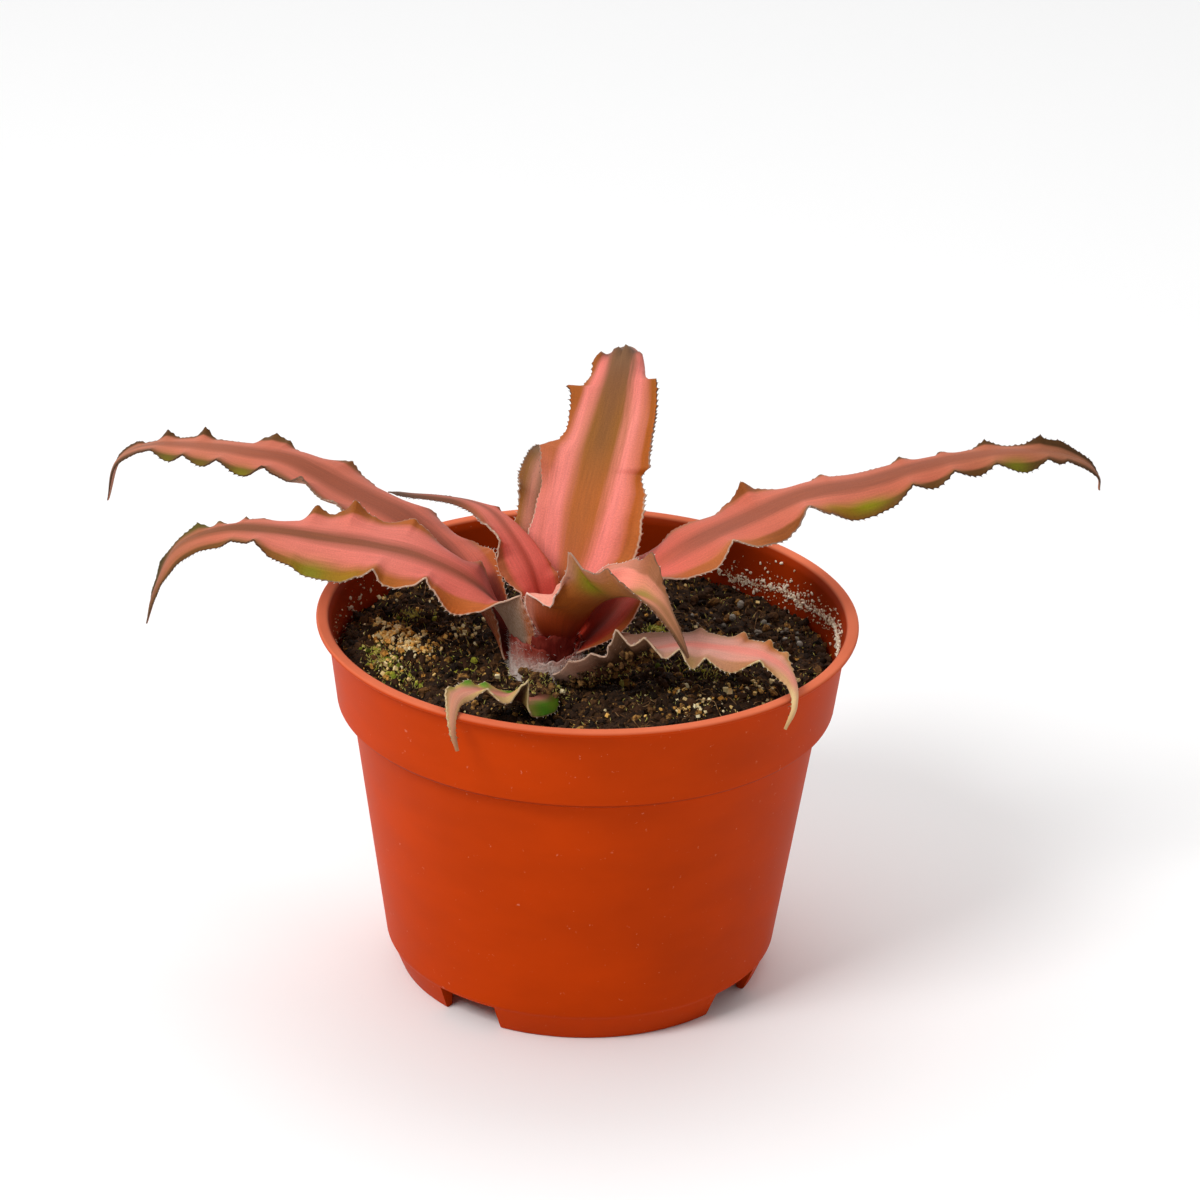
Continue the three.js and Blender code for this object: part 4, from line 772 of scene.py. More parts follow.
def living_leaf(name, look, settings):
    """Living leaf skin: soft bands and faint streaks under a satin cuticle, scales and a dry margin."""
    material, tree = new_material(f"living_{name}")
    share = add(tree, "ShaderNodeSeparateXYZ", {
        0: add(tree, "ShaderNodeAttribute", output="Vector", attribute_name="share")}).node.outputs
    grain = add(tree, "ShaderNodeAttribute", output="Vector", attribute_name="grain")
    # lengthwise streaks, about half a millimetre wide, and slow drifts of tone
    drawn = add(tree, "ShaderNodeMapping", {"Vector": grain, "Scale": (1, 0.06, 1)})
    fine = add(tree, "ShaderNodeTexNoise", {
        "Vector": drawn, "Scale": 2.2, "Detail": 3.0, "Roughness": 0.6})
    broad = add(tree, "ShaderNodeTexNoise", {"Vector": drawn, "Scale": 0.5, "Detail": 2.0})
    pores = add(tree, "ShaderNodeTexNoise", {"Vector": grain, "Scale": 3.2, "Detail": 3.0})
    sway = add(tree, "ShaderNodeMath", {0: broad, 1: 0.2}, operation="MULTIPLY")
    sway = add(tree, "ShaderNodeMath", {0: fine, 1: 0.1, 2: sway}, operation="MULTIPLY_ADD")
    # the bands' edges sway with both noises, about the middle of what they add
    mean_sway = 0.15
    across = add(tree, "ShaderNodeMath", {0: share[0], 1: sway}, operation="ADD")
    across = add(tree, "ShaderNodeMapRange", {
        "Value": across, "From Min": -1 + mean_sway, "From Max": 1 + mean_sway})
    colour = add(tree, "ShaderNodeMix", {
        "Factor": share[2], "A": banded(tree, across, share[1], look["top"]),
        "B": banded(tree, across, share[1], look["under"])}, data_type="RGBA")
    # the lobes turn brown where they stand out past the even strip
    lobe = add(tree, "ShaderNodeAttribute", output="Fac", attribute_name="lobe")
    lobe = add(tree, "ShaderNodeMath", {0: broad, 1: 0.5, 2: lobe}, operation="MULTIPLY_ADD")
    lobe = add(tree, "ShaderNodeMapRange", {
        "Value": lobe, "From Min": 0.45, "From Max": 1.0, "To Max": 0.96},
        interpolation_type="SMOOTHSTEP")
    ends = add(tree, "ShaderNodeValToRGB", {"Fac": share[1]}, stops=[
        (at, linear(shade)) for at, shade in look["lobe"]])
    colour = add(tree, "ShaderNodeMix", {"Factor": lobe, "A": colour, "B": ends}, data_type="RGBA")
    # stains of other colours, painted where they lie
    patch = add(tree, "ShaderNodeAttribute", attribute_name="patch").node.outputs
    colour = add(tree, "ShaderNodeMix", {
        "Factor": patch["Alpha"], "A": colour, "B": patch["Color"]}, data_type="RGBA")
    tone = add(tree, "ShaderNodeMapRange", {
        "Value": fine, "From Min": 0.3, "From Max": 0.7, "To Min": 0.88, "To Max": 1.07})
    mottle = add(tree, "ShaderNodeMapRange", {
        "Value": pores, "From Min": 0.3, "From Max": 0.7, "To Min": 0.88, "To Max": 1.08})
    tone = add(tree, "ShaderNodeMath", {0: tone, 1: mottle}, operation="MULTIPLY")
    tint = add(tree, "ShaderNodeVectorMath", {
        0: tuple(settings.leaf_tint), "Scale": tone}, operation="SCALE")
    colour = add(tree, "ShaderNodeMix", {
        "Factor": 1.0, "A": colour, "B": tint}, data_type="RGBA", blend_type="MULTIPLY")
    # silvery scales: dashes along the blade, 0.2 mm wide
    dashes = add(tree, "ShaderNodeTexNoise", {
        "Vector": add(tree, "ShaderNodeMapping", {"Vector": grain, "Scale": (1, 0.3, 1)}),
        "Scale": 5.0, "Detail": 2.0, "Roughness": 0.7})
    amount = add(tree, "ShaderNodeMapRange", {
        "Value": share[2], "To Min": look["scurf"][0], "To Max": look["scurf"][1]})
    cut_off = add(tree, "ShaderNodeMapRange", {"Value": amount, "To Min": 0.76, "To Max": 0.34})
    scales = add(tree, "ShaderNodeMath", {0: dashes, 1: cut_off}, operation="SUBTRACT")
    scales = add(tree, "ShaderNodeMapRange", {"Value": scales, "From Max": 0.12, "To Max": 0.42})
    colour = add(tree, "ShaderNodeMix", {
        "Factor": scales, "A": colour, "B": linear("#D0B4A2")}, data_type="RGBA")
    # the dry margin, pale by the crown and dark further out
    rim = add(tree, "ShaderNodeMath", {0: share[0]}, operation="ABSOLUTE")
    rim = add(tree, "ShaderNodeMapRange", {
        "Value": rim, "From Min": 0.978, "From Max": 1.0, "To Max": 0.8}, interpolation_type="SMOOTHSTEP")
    outer = add(tree, "ShaderNodeMapRange", {"Value": share[1], "From Min": 0.25, "From Max": 0.55})
    edge = add(tree, "ShaderNodeMix", {
        "Factor": outer, "A": linear(look["edge"][0]), "B": linear(look["edge"][1])}, data_type="RGBA")
    colour = add(tree, "ShaderNodeMix", {"Factor": rim, "A": colour, "B": edge}, data_type="RGBA")
    bump = add(tree, "ShaderNodeBump", {"Strength": 0.3, "Distance": 0.00012, "Height": fine})
    bump = add(tree, "ShaderNodeBump", {
        "Strength": 0.25, "Distance": 0.0001, "Height": dashes, "Normal": bump})
    rough = add(tree, "ShaderNodeMapRange", {"Value": fine, "To Min": 0.45, "To Max": 0.65})
    shader = add(tree, "ShaderNodeBsdfPrincipled", {
        "Base Color": colour, "Roughness": rough, "IOR": 1.45, "Specular IOR Level": 0.14, "Normal": bump})
    add(tree, "ShaderNodeOutputMaterial", {"Surface": shader})
    return material


def scurfy_sheath():
    """Clasping leaf bases: dark red tissue under a patchy felt of whitish fibres and scales."""
    material, tree = new_material("scurfy_sheath")
    place = add(tree, "ShaderNodeTexCoord", output="Object")
    # upright fibres 0.6 mm wide and blots of 3 mm
    drawn = add(tree, "ShaderNodeMapping", {"Vector": place, "Scale": (1, 1, 0.25)})
    fibres = add(tree, "ShaderNodeTexNoise", {
        "Vector": drawn, "Scale": 1700, "Detail": 4.0, "Roughness": 0.65})
    blots = add(tree, "ShaderNodeTexNoise", {"Vector": place, "Scale": 330, "Detail": 3.0})
    felt = add(tree, "ShaderNodeAttribute", output="Fac", attribute_name="felt")
    felt = add(tree, "ShaderNodeMath", {0: fibres, 1: 0.5, 2: felt}, operation="MULTIPLY_ADD")
    felt = add(tree, "ShaderNodeMath", {0: blots, 1: 0.8, 2: felt}, operation="MULTIPLY_ADD")
    colour = add(tree, "ShaderNodeValToRGB", {
        "Fac": add(tree, "ShaderNodeMath", {0: felt, 1: 0.5}, operation="MULTIPLY")}, stops=[
        (0.3, linear("#6E160C")), (0.42, linear("#8E3426")), (0.54, linear("#A8665A")),
        (0.66, linear("#C09C90")), (0.8, linear("#E0D2C8"))])
    bump = add(tree, "ShaderNodeBump", {"Strength": 0.7, "Distance": 0.0004, "Height": fibres})
    shader = add(tree, "ShaderNodeBsdfPrincipled", {
        "Base Color": colour, "Roughness": 0.8, "Specular IOR Level": 0.2, "Normal": bump})
    add(tree, "ShaderNodeOutputMaterial", {"Surface": shader})
    return material


def matt_paper(name, colour):
    """A plain matt backdrop."""
    material, tree = new_material(name)
    shader = add(tree, "ShaderNodeBsdfPrincipled", {"Base Color": linear(colour), "Roughness": 0.95})
    add(tree, "ShaderNodeOutputMaterial", {"Surface": shader})
    return material

# ---- what is strewn and what bristles, by Geometry Nodes ----


def seedbed(points, faces=(), outward=(0, 0, 1), amount=1.0, size=1.0, tone=1.0):
    """A mesh for bits to grow on, marked with their direction, their amount, their size and their tone."""
    bed = mesh_object("seedbed", np.asarray(points, float) * MM, [tuple(face) for face in faces])
    count = len(points)
    mark(bed.data, outward=np.broadcast_to(outward, (count, 3)), amount=np.broadcast_to(amount, count),
         size=np.broadcast_to(size, count), tone=np.broadcast_to(tone, count))
    return bed


# the inputs that say where bits grow, as growing_points reads them
GROWTH = [("On vertices", "Bool", False), ("Density", "Float", 1e5), ("Seed", "Int", 1)]


def begin_tree(name, *own):
    """A Geometry Nodes tree with its named inputs."""
    tree = bpy.data.node_groups.new(name, "GeometryNodeTree")
    for label, kind, value in (("Geometry", "Geometry", None), *own, ("Material", "Material", None)):
        socket = tree.interface.new_socket(label, in_out="INPUT", socket_type="NodeSocket" + kind)
        if value is not None:
            socket.default_value = value
    tree.interface.new_socket("Geometry", in_out="OUTPUT", socket_type="NodeSocketGeometry")
    return tree, tree.nodes.new("NodeGroupInput").outputs


def growing_points(tree, given):
    """The points that bits grow at: every vertex of the seedbed, or points strewn over its faces."""
    amount = add(tree, "GeometryNodeInputNamedAttribute", {"Name": "amount"}, data_type="FLOAT")
    density = add(tree, "ShaderNodeMath", {0: amount, 1: given["Density"]}, operation="MULTIPLY")
    strewn = add(tree, "GeometryNodeDistributePointsOnFaces", {
        "Mesh": given["Geometry"], "Density": density, "Seed": given["Seed"]})
    vertices = add(tree, "GeometryNodeMeshToPoints", {"Mesh": given["Geometry"]})
    return add(tree, "GeometryNodeSwitch", {
        "Switch": given["On vertices"], "False": strewn, "True": vertices}, input_type="GEOMETRY")


def end_tree(tree, given, grown, smooth=False):
    """Makes the bits real, gives them their material and ends the tree."""
    grown = add(tree, "GeometryNodeRealizeInstances", {"Geometry": grown})
    grown = add(tree, "GeometryNodeSetShadeSmooth", {"Geometry": grown, "Shade Smooth": smooth})
    grown = add(tree, "GeometryNodeSetMaterial", {"Geometry": grown, "Material": given["Material"]})
    add(tree, "NodeGroupOutput", {0: grown})
    return tree


def lump_tree():
    """Rough lumps: small rounded blocks, each squashed and dented its own way."""
    tree, given = begin_tree(
        "lumps", *GROWTH, ("Smallest", "Float", 0.0003), ("Largest", "Float", 0.001),
        ("Flatness", "Float", 0.8), ("Lift", "Float", 0.0), ("Edge points", "Int", 3),
        ("Dents", "Float", 0.3))
    points = growing_points(tree, given)
    # most lumps are small: the chance is raised to a power before it picks a size
    size = add(tree, "GeometryNodeInputNamedAttribute", {"Name": "size"}, data_type="FLOAT")
    chance = add(tree, "FunctionNodeRandomValue", {"Seed": given["Seed"]}, data_type="FLOAT")
    chance = add(tree, "ShaderNodeMath", {0: chance, 1: 2.2}, operation="POWER")
    radius = add(tree, "ShaderNodeMapRange", {
        "Value": chance, "To Min": given["Smallest"], "To Max": given["Largest"]})
    radius = add(tree, "ShaderNodeMath", {0: radius, 1: size}, operation="MULTIPLY")
    own_tone = add(tree, "GeometryNodeInputNamedAttribute", {"Name": "tone"}, data_type="FLOAT")
    tone = add(tree, "FunctionNodeRandomValue", {
        "Seed": given["Seed"], "ID": add(tree, "GeometryNodeInputIndex")}, data_type="FLOAT")
    tone = add(tree, "ShaderNodeMath", {0: tone, 1: own_tone}, operation="MULTIPLY")
    points = add(tree, "GeometryNodeStoreNamedAttribute", {
        "Geometry": points, "Name": "tone", "Value": tone}, data_type="FLOAT", domain="POINT")
    outward = add(tree, "GeometryNodeInputNamedAttribute", {"Name": "outward"}, data_type="FLOAT_VECTOR")
    lift = add(tree, "ShaderNodeMath", {0: radius, 1: given["Lift"]}, operation="MULTIPLY")
    lift = add(tree, "ShaderNodeVectorMath", {0: outward, "Scale": lift}, operation="SCALE")
    points = add(tree, "GeometryNodeSetPosition", {"Geometry": points, "Offset": lift})
    # a block is a cube whose points are drawn out to a ball, so it has few faces
    edge = given["Edge points"]
    block = add(tree, "GeometryNodeMeshCube", {
        "Size": (2, 2, 2), "Vertices X": edge, "Vertices Y": edge, "Vertices Z": edge})
    corner = add(tree, "GeometryNodeInputPosition")
    round_out = add(tree, "ShaderNodeVectorMath", {0: corner}, operation="NORMALIZE")
    block = add(tree, "GeometryNodeSetPosition", {"Geometry": block, "Position": round_out})
    # turned any way round, and squashed a little along each axis
    turn = add(tree, "FunctionNodeRandomValue", {
        "Min": (0, 0, 0), "Max": (6.3, 6.3, 6.3), "Seed": given["Seed"]}, data_type="FLOAT_VECTOR")
    squash = add(tree, "FunctionNodeRandomValue", {
        "Min": (0.75, 0.75, 0.6), "Max": (1.25, 1.25, 1), "Seed": 3}, data_type="FLOAT_VECTOR")
    squash = add(tree, "ShaderNodeVectorMath", {0: squash, "Scale": radius}, operation="SCALE")
    flat = add(tree, "ShaderNodeCombineXYZ", {0: 1.0, 1: 1.0, 2: given["Flatness"]})
    squash = add(tree, "ShaderNodeVectorMath", {0: squash, 1: flat}, operation="MULTIPLY")
    lumps = add(tree, "GeometryNodeInstanceOnPoints", {
        "Points": points, "Instance": block, "Rotation": turn, "Scale": squash})
    # the dents follow a noise about a millimetre across, so the lumps are made real before them
    lumps = add(tree, "GeometryNodeRealizeInstances", {"Geometry": lumps})
    bite = add(tree, "ShaderNodeTexNoise", {"Scale": 1100.0, "Detail": 1.0}, "Color")
    bite = add(tree, "ShaderNodeVectorMath", {0: bite, 1: (0.5, 0.5, 0.5)}, operation="SUBTRACT")
    depth = add(tree, "ShaderNodeMath", {0: given["Dents"], 1: given["Largest"]}, operation="MULTIPLY")
    bite = add(tree, "ShaderNodeVectorMath", {0: bite, "Scale": depth}, operation="SCALE")
    lumps = add(tree, "GeometryNodeSetPosition", {"Geometry": lumps, "Offset": bite})
    return end_tree(tree, given, lumps)


def bristle_tree():
    """Bristles: slim pointed cones that lean out of what they grow on."""
    tree, given = begin_tree(
        "bristles", *GROWTH, ("Length", "Float", 0.001), ("Thickness", "Float", 0.0001),
        ("Lean", "Float", 0.3), ("Sides", "Int", 4))
    size = add(tree, "GeometryNodeInputNamedAttribute", {"Name": "size"}, data_type="FLOAT")
    chance = add(tree, "FunctionNodeRandomValue", {
        "Min": 0.55, "Max": 1.25, "Seed": given["Seed"]}, data_type="FLOAT")
    length = add(tree, "ShaderNodeMath", {0: given["Length"], 1: size}, operation="MULTIPLY")
    length = add(tree, "ShaderNodeMath", {0: length, 1: chance}, operation="MULTIPLY")
    outward = add(tree, "GeometryNodeInputNamedAttribute", {"Name": "outward"}, data_type="FLOAT_VECTOR")
    astray = add(tree, "FunctionNodeRandomValue", {
        "Min": (-1, -1, -1), "Max": (1, 1, 1), "Seed": given["Seed"]}, data_type="FLOAT_VECTOR")
    astray = add(tree, "ShaderNodeVectorMath", {0: astray, "Scale": given["Lean"]}, operation="SCALE")
    aim = add(tree, "ShaderNodeVectorMath", {0: outward, 1: astray}, operation="ADD")
    turn = add(tree, "FunctionNodeAlignRotationToVector", {"Vector": aim}, axis="Z")
    cone = add(tree, "GeometryNodeMeshCone", {
        "Vertices": given["Sides"], "Radius Bottom": 1.0, "Depth": 1.0}, fill_type="NGON")
    scale = add(tree, "ShaderNodeCombineXYZ", {0: given["Thickness"], 1: given["Thickness"], 2: length})
    grown = add(tree, "GeometryNodeInstanceOnPoints", {
        "Points": growing_points(tree, given), "Instance": cone, "Rotation": turn, "Scale": scale})
    return end_tree(tree, given, grown, smooth=True)


def thread_tree():
    """Threads: thin round strands along the mesh's edges."""
    tree, given = begin_tree("threads", ("Thickness", "Float", 0.0002))
    paths = add(tree, "GeometryNodeMeshToCurve", {"Mesh": given["Geometry"]})
    strand = add(tree, "GeometryNodeCurvePrimitiveCircle", {"Resolution": 5, "Radius": given["Thickness"]})
    grown = add(tree, "GeometryNodeCurveToMesh", {
        "Curve": paths, "Profile Curve": strand, "Fill Caps": True})
    return end_tree(tree, given, grown, smooth=True)


def grow(tree, bed, name, slot, **values):
    """Grows a tree's bits on a bed as one plain piece; values are the tree's inputs, with _ for a space."""
    modifier = bed.modifiers.new(tree.name, "NODES")
    modifier.node_group = tree
    for item in tree.interface.items_tree:
        key = item.name.replace(" ", "_")
        if item.in_out == "INPUT" and key in values:
            modifier[item.identifier] = values[key]
    piece = baked(bed, name)
    if not piece.data.polygons:
        raise RuntimeError(f"nothing grew for {name}")
    return settle(piece, slot)

# ---- pot ----


def rounded(outline, radius, steps=4):
    """An outline of (radius, z) points with its inner corners rounded off."""
    made = []
    for k, corner in enumerate(outline):
        if k in (0, len(outline) - 1):
            made.append(corner)
            continue
        here = np.array(corner, float)
        ways = [np.array(outline[k + step], float) - here for step in (-1, 1)]
        lengths = [np.linalg.norm(way) for way in ways]
        # short of halfway to each neighbour, so that two corners never meet
        reach = min(radius, *[length * 0.45 for length in lengths])
        start, end = [here + way / length * reach for way, length in zip(ways, lengths)]
        for t in np.linspace(0, 1, steps):
            made.append(tuple((1 - t) ** 2 * start + 2 * t * (1 - t) * here + t ** 2 * end))
    return made


def lathe(name, outline, sides, material=None):
    """A closed solid turned about the pot's axis; the outline starts and ends on the axis."""
    inner = outline[1:-1]
    points = [(0, 0, outline[0][1] * MM), (0, 0, outline[-1][1] * MM)]
    for radius, z in inner:
        points += [(x * MM, y * MM, z * MM) for x, y in ring(radius, sides)]
    faces = []
    last = 2 + (len(inner) - 1) * sides
    for side in range(sides):
        following = (side + 1) % sides
        faces.append((0, 2 + following, 2 + side))
        faces.append((1, last + side, last + following))
        for row in range(len(inner) - 1):
            low, high = 2 + row * sides, 2 + (row + 1) * sides
            faces.append((low + side, low + following, high + following, high + side))
    return mesh_object(name, points, faces, material)


def cut(target, tool):
    """Adds a boolean that takes the tool out of the target."""
    modifier = target.modifiers.new("cut", "BOOLEAN")
    modifier.operation = "DIFFERENCE"
    modifier.solver = "EXACT"
    modifier.object = tool


def pot_outline():
    """Half the pot's section, from the axis under its floor round the wall and back to the axis."""
    ledge = BAND_FOOT_Z - STEP_HEIGHT
    outer = [
        (0, FLOOR_TOP_Z - WALL), (FOOT_RADIUS - FOOT_WALL, FLOOR_TOP_Z - WALL),
        (FOOT_RADIUS - FOOT_WALL, 0), (FOOT_RADIUS, 0),
        (BODY_FOOT_RADIUS - 0.6, FOOT_RING_HEIGHT - 0.8), (BODY_FOOT_RADIUS, FOOT_RING_HEIGHT),
        (BODY_TOP_RADIUS, ledge), (BAND_FOOT_RADIUS - 0.7, BAND_FOOT_Z - 0.7),
        (BAND_FOOT_RADIUS, BAND_FOOT_Z), (BAND_TOP_RADIUS, POT_HEIGHT - LIP_THICKNESS - 0.2),
        (LIP_RADIUS - 0.3, POT_HEIGHT - LIP_THICKNESS), (LIP_RADIUS, POT_HEIGHT - 0.7),
        (LIP_RADIUS, POT_HEIGHT - 0.3), (LIP_RADIUS - 0.3, POT_HEIGHT),
    ]
    inner = [
        (LIP_INNER_RADIUS, POT_HEIGHT), (BAND_TOP_RADIUS - WALL, POT_HEIGHT - LIP_SLOPE),
        (BAND_FOOT_RADIUS - WALL, BAND_FOOT_Z), (BODY_TOP_RADIUS - WALL, ledge - 0.9),
        (BODY_FOOT_RADIUS - WALL - 0.2, FLOOR_TOP_Z + 1), (BODY_FOOT_RADIUS - WALL - 1.2, FLOOR_TOP_Z),
        (0, FLOOR_TOP_Z),
    ]
    return rounded(outer + inner, CORNER_RADIUS)


def cutter(name, create, **sizes):
    """A solid to cut the pot with, from one of bmesh's own shapes."""
    mesh = bpy.data.meshes.new(name)
    shape = bmesh.new()
    create(shape, **sizes)
    shape.to_mesh(mesh)
    shape.free()
    return placed(name, mesh)


def notch_cutters():
    """Blocks that cut the notches between the pot's feet."""
    width = 2 * FOOT_RADIUS * math.sin(math.radians(NOTCH_ANGLE / 2))
    size = Matrix.Diagonal((12 * MM, width * MM, 2 * NOTCH_HEIGHT * MM, 1))
    place = Matrix.Translation((FOOT_RADIUS * MM, 0, 0))
    made = []
    for foot in range(FOOT_COUNT):
        turn = Matrix.Rotation(math.radians(FRONT_FOOT_ANGLE + (foot + 0.5) * 360 / FOOT_COUNT), 4, "Z")
        made.append(cutter("notch", bmesh.ops.create_cube, size=1, matrix=turn @ place @ size))
    return made


def drain_cutters():
    """Cylinders that cut the drainage holes in the pot's floor."""
    radius = DRAIN_RADIUS * MM
    made = []
    for x, y in ring(DRAIN_CIRCLE_RADIUS, DRAIN_HOLES):
        place = Matrix.Translation((x * MM, y * MM, FLOOR_TOP_Z * MM))
        made.append(cutter("drain", bmesh.ops.create_cone, cap_ends=True, segments=HOLE_SIDES,
                           radius1=radius, radius2=radius, depth=6 * MM, matrix=place))
    return made


def make_pot(settings):
    """The pot, with the notches between its feet and its drainage holes."""
    pot = lathe("pot_body", pot_outline(), POT_SIDES, moulded_polypropylene(settings))
    cutters = notch_cutters() + drain_cutters()
    for tool in cutters:
        cut(pot, tool)
    pot = baked(pot, "pot_shell")
    for tool in cutters:
        bpy.data.objects.remove(tool)
    pot.data.shade_smooth()
    pot.data.set_sharp_from_angle(angle=math.radians(SHARP_ANGLE))
    return settle(pot, "pot_plastic", "pot")

# ---- soil ----


def soil_height(x, y):
    """The soil's height over the point x, y, without its crumbs."""
    heaped = sum(h * np.exp(-((x - hx) ** 2 + (y - hy) ** 2) / (r * r)) for hx, hy, r, h in SOIL_HEAPS)
    crumbs = 0.35 * np.sin(0.55 * x + 1.3) * np.sin(0.61 * y - 0.4)
    return SOIL_LEVEL + SOIL_SLOPE[0] * x + SOIL_SLOPE[1] * y + heaped + crumbs


def crumbly(x, y):
    """Lumps and pits on the soil, about 6 mm and 1.5 mm across."""
    coarse = noise.fractal(Vector((x * 0.16, y * 0.16, 2.0)), 0.8, 2.1, 3)
    small = noise.fractal(Vector((x * 0.7, y * 0.7, 7.0)), 0.7, 2.2, 3)
    return 1.1 * coarse + 0.6 * small


def soil_point(x, y, above=0):
    """The point of the crumbly soil at x, y, or one above it."""
    return x, y, soil_height(x, y) + crumbly(x, y) + above


def soil_top(rings, sides):
    """The soil's top as rings of points round the middle one, and the faces between them."""
    edge = BAND_FOOT_RADIUS - WALL + 0.5 - SOIL_GAP
    points = [(0, 0, soil_height(0, 0))]
    for row in range(1, rings + 1):
        points += [soil_point(x, y) for x, y in ring(edge * row / rings, sides)]
    faces = []
    for side in range(sides):
        following = (side + 1) % sides
        faces.append((0, 1 + side, 1 + following))
        for row in range(rings - 1):
            inner, outer = 1 + row * sides, 1 + (row + 1) * sides
            faces.append((inner + side, outer + side, outer + following, inner + following))
    return points, faces


def make_soil(settings):
    """The soil as one closed body with a crumbly top."""
    points, faces = soil_top(SOIL_RINGS, SOIL_SIDES)
    skirt = [
        (BAND_FOOT_RADIUS - WALL - SOIL_GAP, BAND_FOOT_Z + 0.4),
        (BODY_TOP_RADIUS - WALL - SOIL_GAP, BAND_FOOT_Z - STEP_HEIGHT - 0.7),
        (BODY_FOOT_RADIUS - WALL - SOIL_GAP - 0.4, FLOOR_TOP_Z + 1.6),
        (BODY_FOOT_RADIUS - WALL - SOIL_GAP - 1.6, FLOOR_TOP_Z + SOIL_GAP),
    ]
    for radius, z in skirt:
        points += [(x, y, z) for x, y in ring(radius, SOIL_SIDES)]
    points.append((0, 0, FLOOR_TOP_Z + SOIL_GAP))
    foot = 1 + (SOIL_RINGS + len(skirt) - 1) * SOIL_SIDES
    for side in range(SOIL_SIDES):
        following = (side + 1) % SOIL_SIDES
        for inner in range(1 + (SOIL_RINGS - 1) * SOIL_SIDES, foot, SOIL_SIDES):
            outer = inner + SOIL_SIDES
            faces.append((inner + side, outer + side, outer + following, inner + following))
        faces.append((len(points) - 1, foot + following, foot + side))
    soil = mesh_object("soil_bed", np.array(points) * MM, faces, damp_peat(settings))
    return settle(soil, "soil", "soil")


def spread(x, y, spots):
    """How much lies at x, y, from spots of (x, y, radius, amount)."""
    return sum(a * np.exp(-((x - sx) ** 2 + (y - sy) ** 2) / (r * r)) for sx, sy, r, a in spots)


def soil_bed(spots, even=0.0):
    """The soil's top as a seedbed, with bits on the spots and an even share of them elsewhere."""
    points, faces = soil_top(BED_RINGS, BED_SIDES)
    x, y, _ = np.array(points).T
    return seedbed(points, faces, amount=even + spread(x, y, spots))


def wall_points(marks, count, scatter, random):
    """Points just inside the pot's wall, strewn along marks of (degrees, height)."""
    marks = np.array(marks, float)
    at = random.uniform(0, len(marks) - 1, count)
    stations = np.arange(len(marks))
    angle = np.radians(np.interp(at, stations, marks[:, 0]) + random.normal(0, 1.2, count))
    z = np.interp(at, stations, marks[:, 1]) + random.normal(0, scatter, count)
    heights = (BAND_FOOT_Z, POT_HEIGHT - LIP_SLOPE)
    radius = np.interp(z, heights, (BAND_FOOT_RADIUS - WALL, BAND_TOP_RADIUS - WALL)) - 0.15
    return np.stack([radius * np.cos(angle), radius * np.sin(angle), np.minimum(z, POT_HEIGHT - 2)], 1)


def strew_soil(settings, lumps, bristles, moss):
    """Peat lumps and grit, pale crumbs, grey balls and moss, each where it lies on the soil."""
    dark = settings.soil_colour
    peat = loose_bits("peat_lumps", [
        (0, shaded(dark, 0.25)), (0.4, shaded(dark)), (0.72, "#452A15"), (0.92, "#6E4A24"), (1, "#B0803E")])
    pale = loose_bits("pale_crumbs", [(0, "#B0742C"), (0.2, "#ECAE52"), (0.5, "#FFD684"), (1, "#FFF2C4")])
    perlite = loose_bits("perlite", [(0, "#6E655A"), (0.5, "#8E867A"), (1, "#B8B2A6")], 0.8)
    many = settings.lump_density
    # each row: piece, kind of bit, material, its spots and its even share, how many, and its own sizes
    rows = [
        ("peat_lumps", lumps, peat, [], 1, many, dict(
            Smallest=0.3 * MM, Largest=1.2 * MM, Dents=0.85, Lift=0.2)),
        ("peat_grit", lumps, peat, [], 1, 4 * many, dict(
            Smallest=0.12 * MM, Largest=0.42 * MM, Dents=0.4, Lift=0.5, Edge_points=2)),
        ("pale_crumbs", lumps, pale, CRUMB_SPOTS, 0.02, settings.crumb_density, dict(
            Smallest=0.14 * MM, Largest=0.7 * MM, Dents=0.7, Lift=1.0, Edge_points=2)),
        ("perlite_balls", lumps, perlite, PEBBLE_SPOTS, 0, 5e5, dict(
            Smallest=0.4 * MM, Largest=0.95 * MM, Dents=0.12, Lift=0.9, Flatness=0.95)),
        ("moss_shoots", bristles, moss, MOSS_SPOTS, 0.02, 7e6, dict(
            Length=1.0 * MM, Thickness=0.16 * MM, Lean=0.9, Sides=3)),
        ("moss_cushions", lumps, moss, MOSS_SPOTS, 0, 1.4e6, dict(
            Smallest=0.25 * MM, Largest=0.75 * MM, Dents=0.9, Lift=0.6)),
    ]
    for k, (name, tree, material, spots, even, density, sizes) in enumerate(rows):
        grow(tree, soil_bed(spots, even), name, "soil", Density=density, Seed=settings.seed + k,
             Material=material, **sizes)


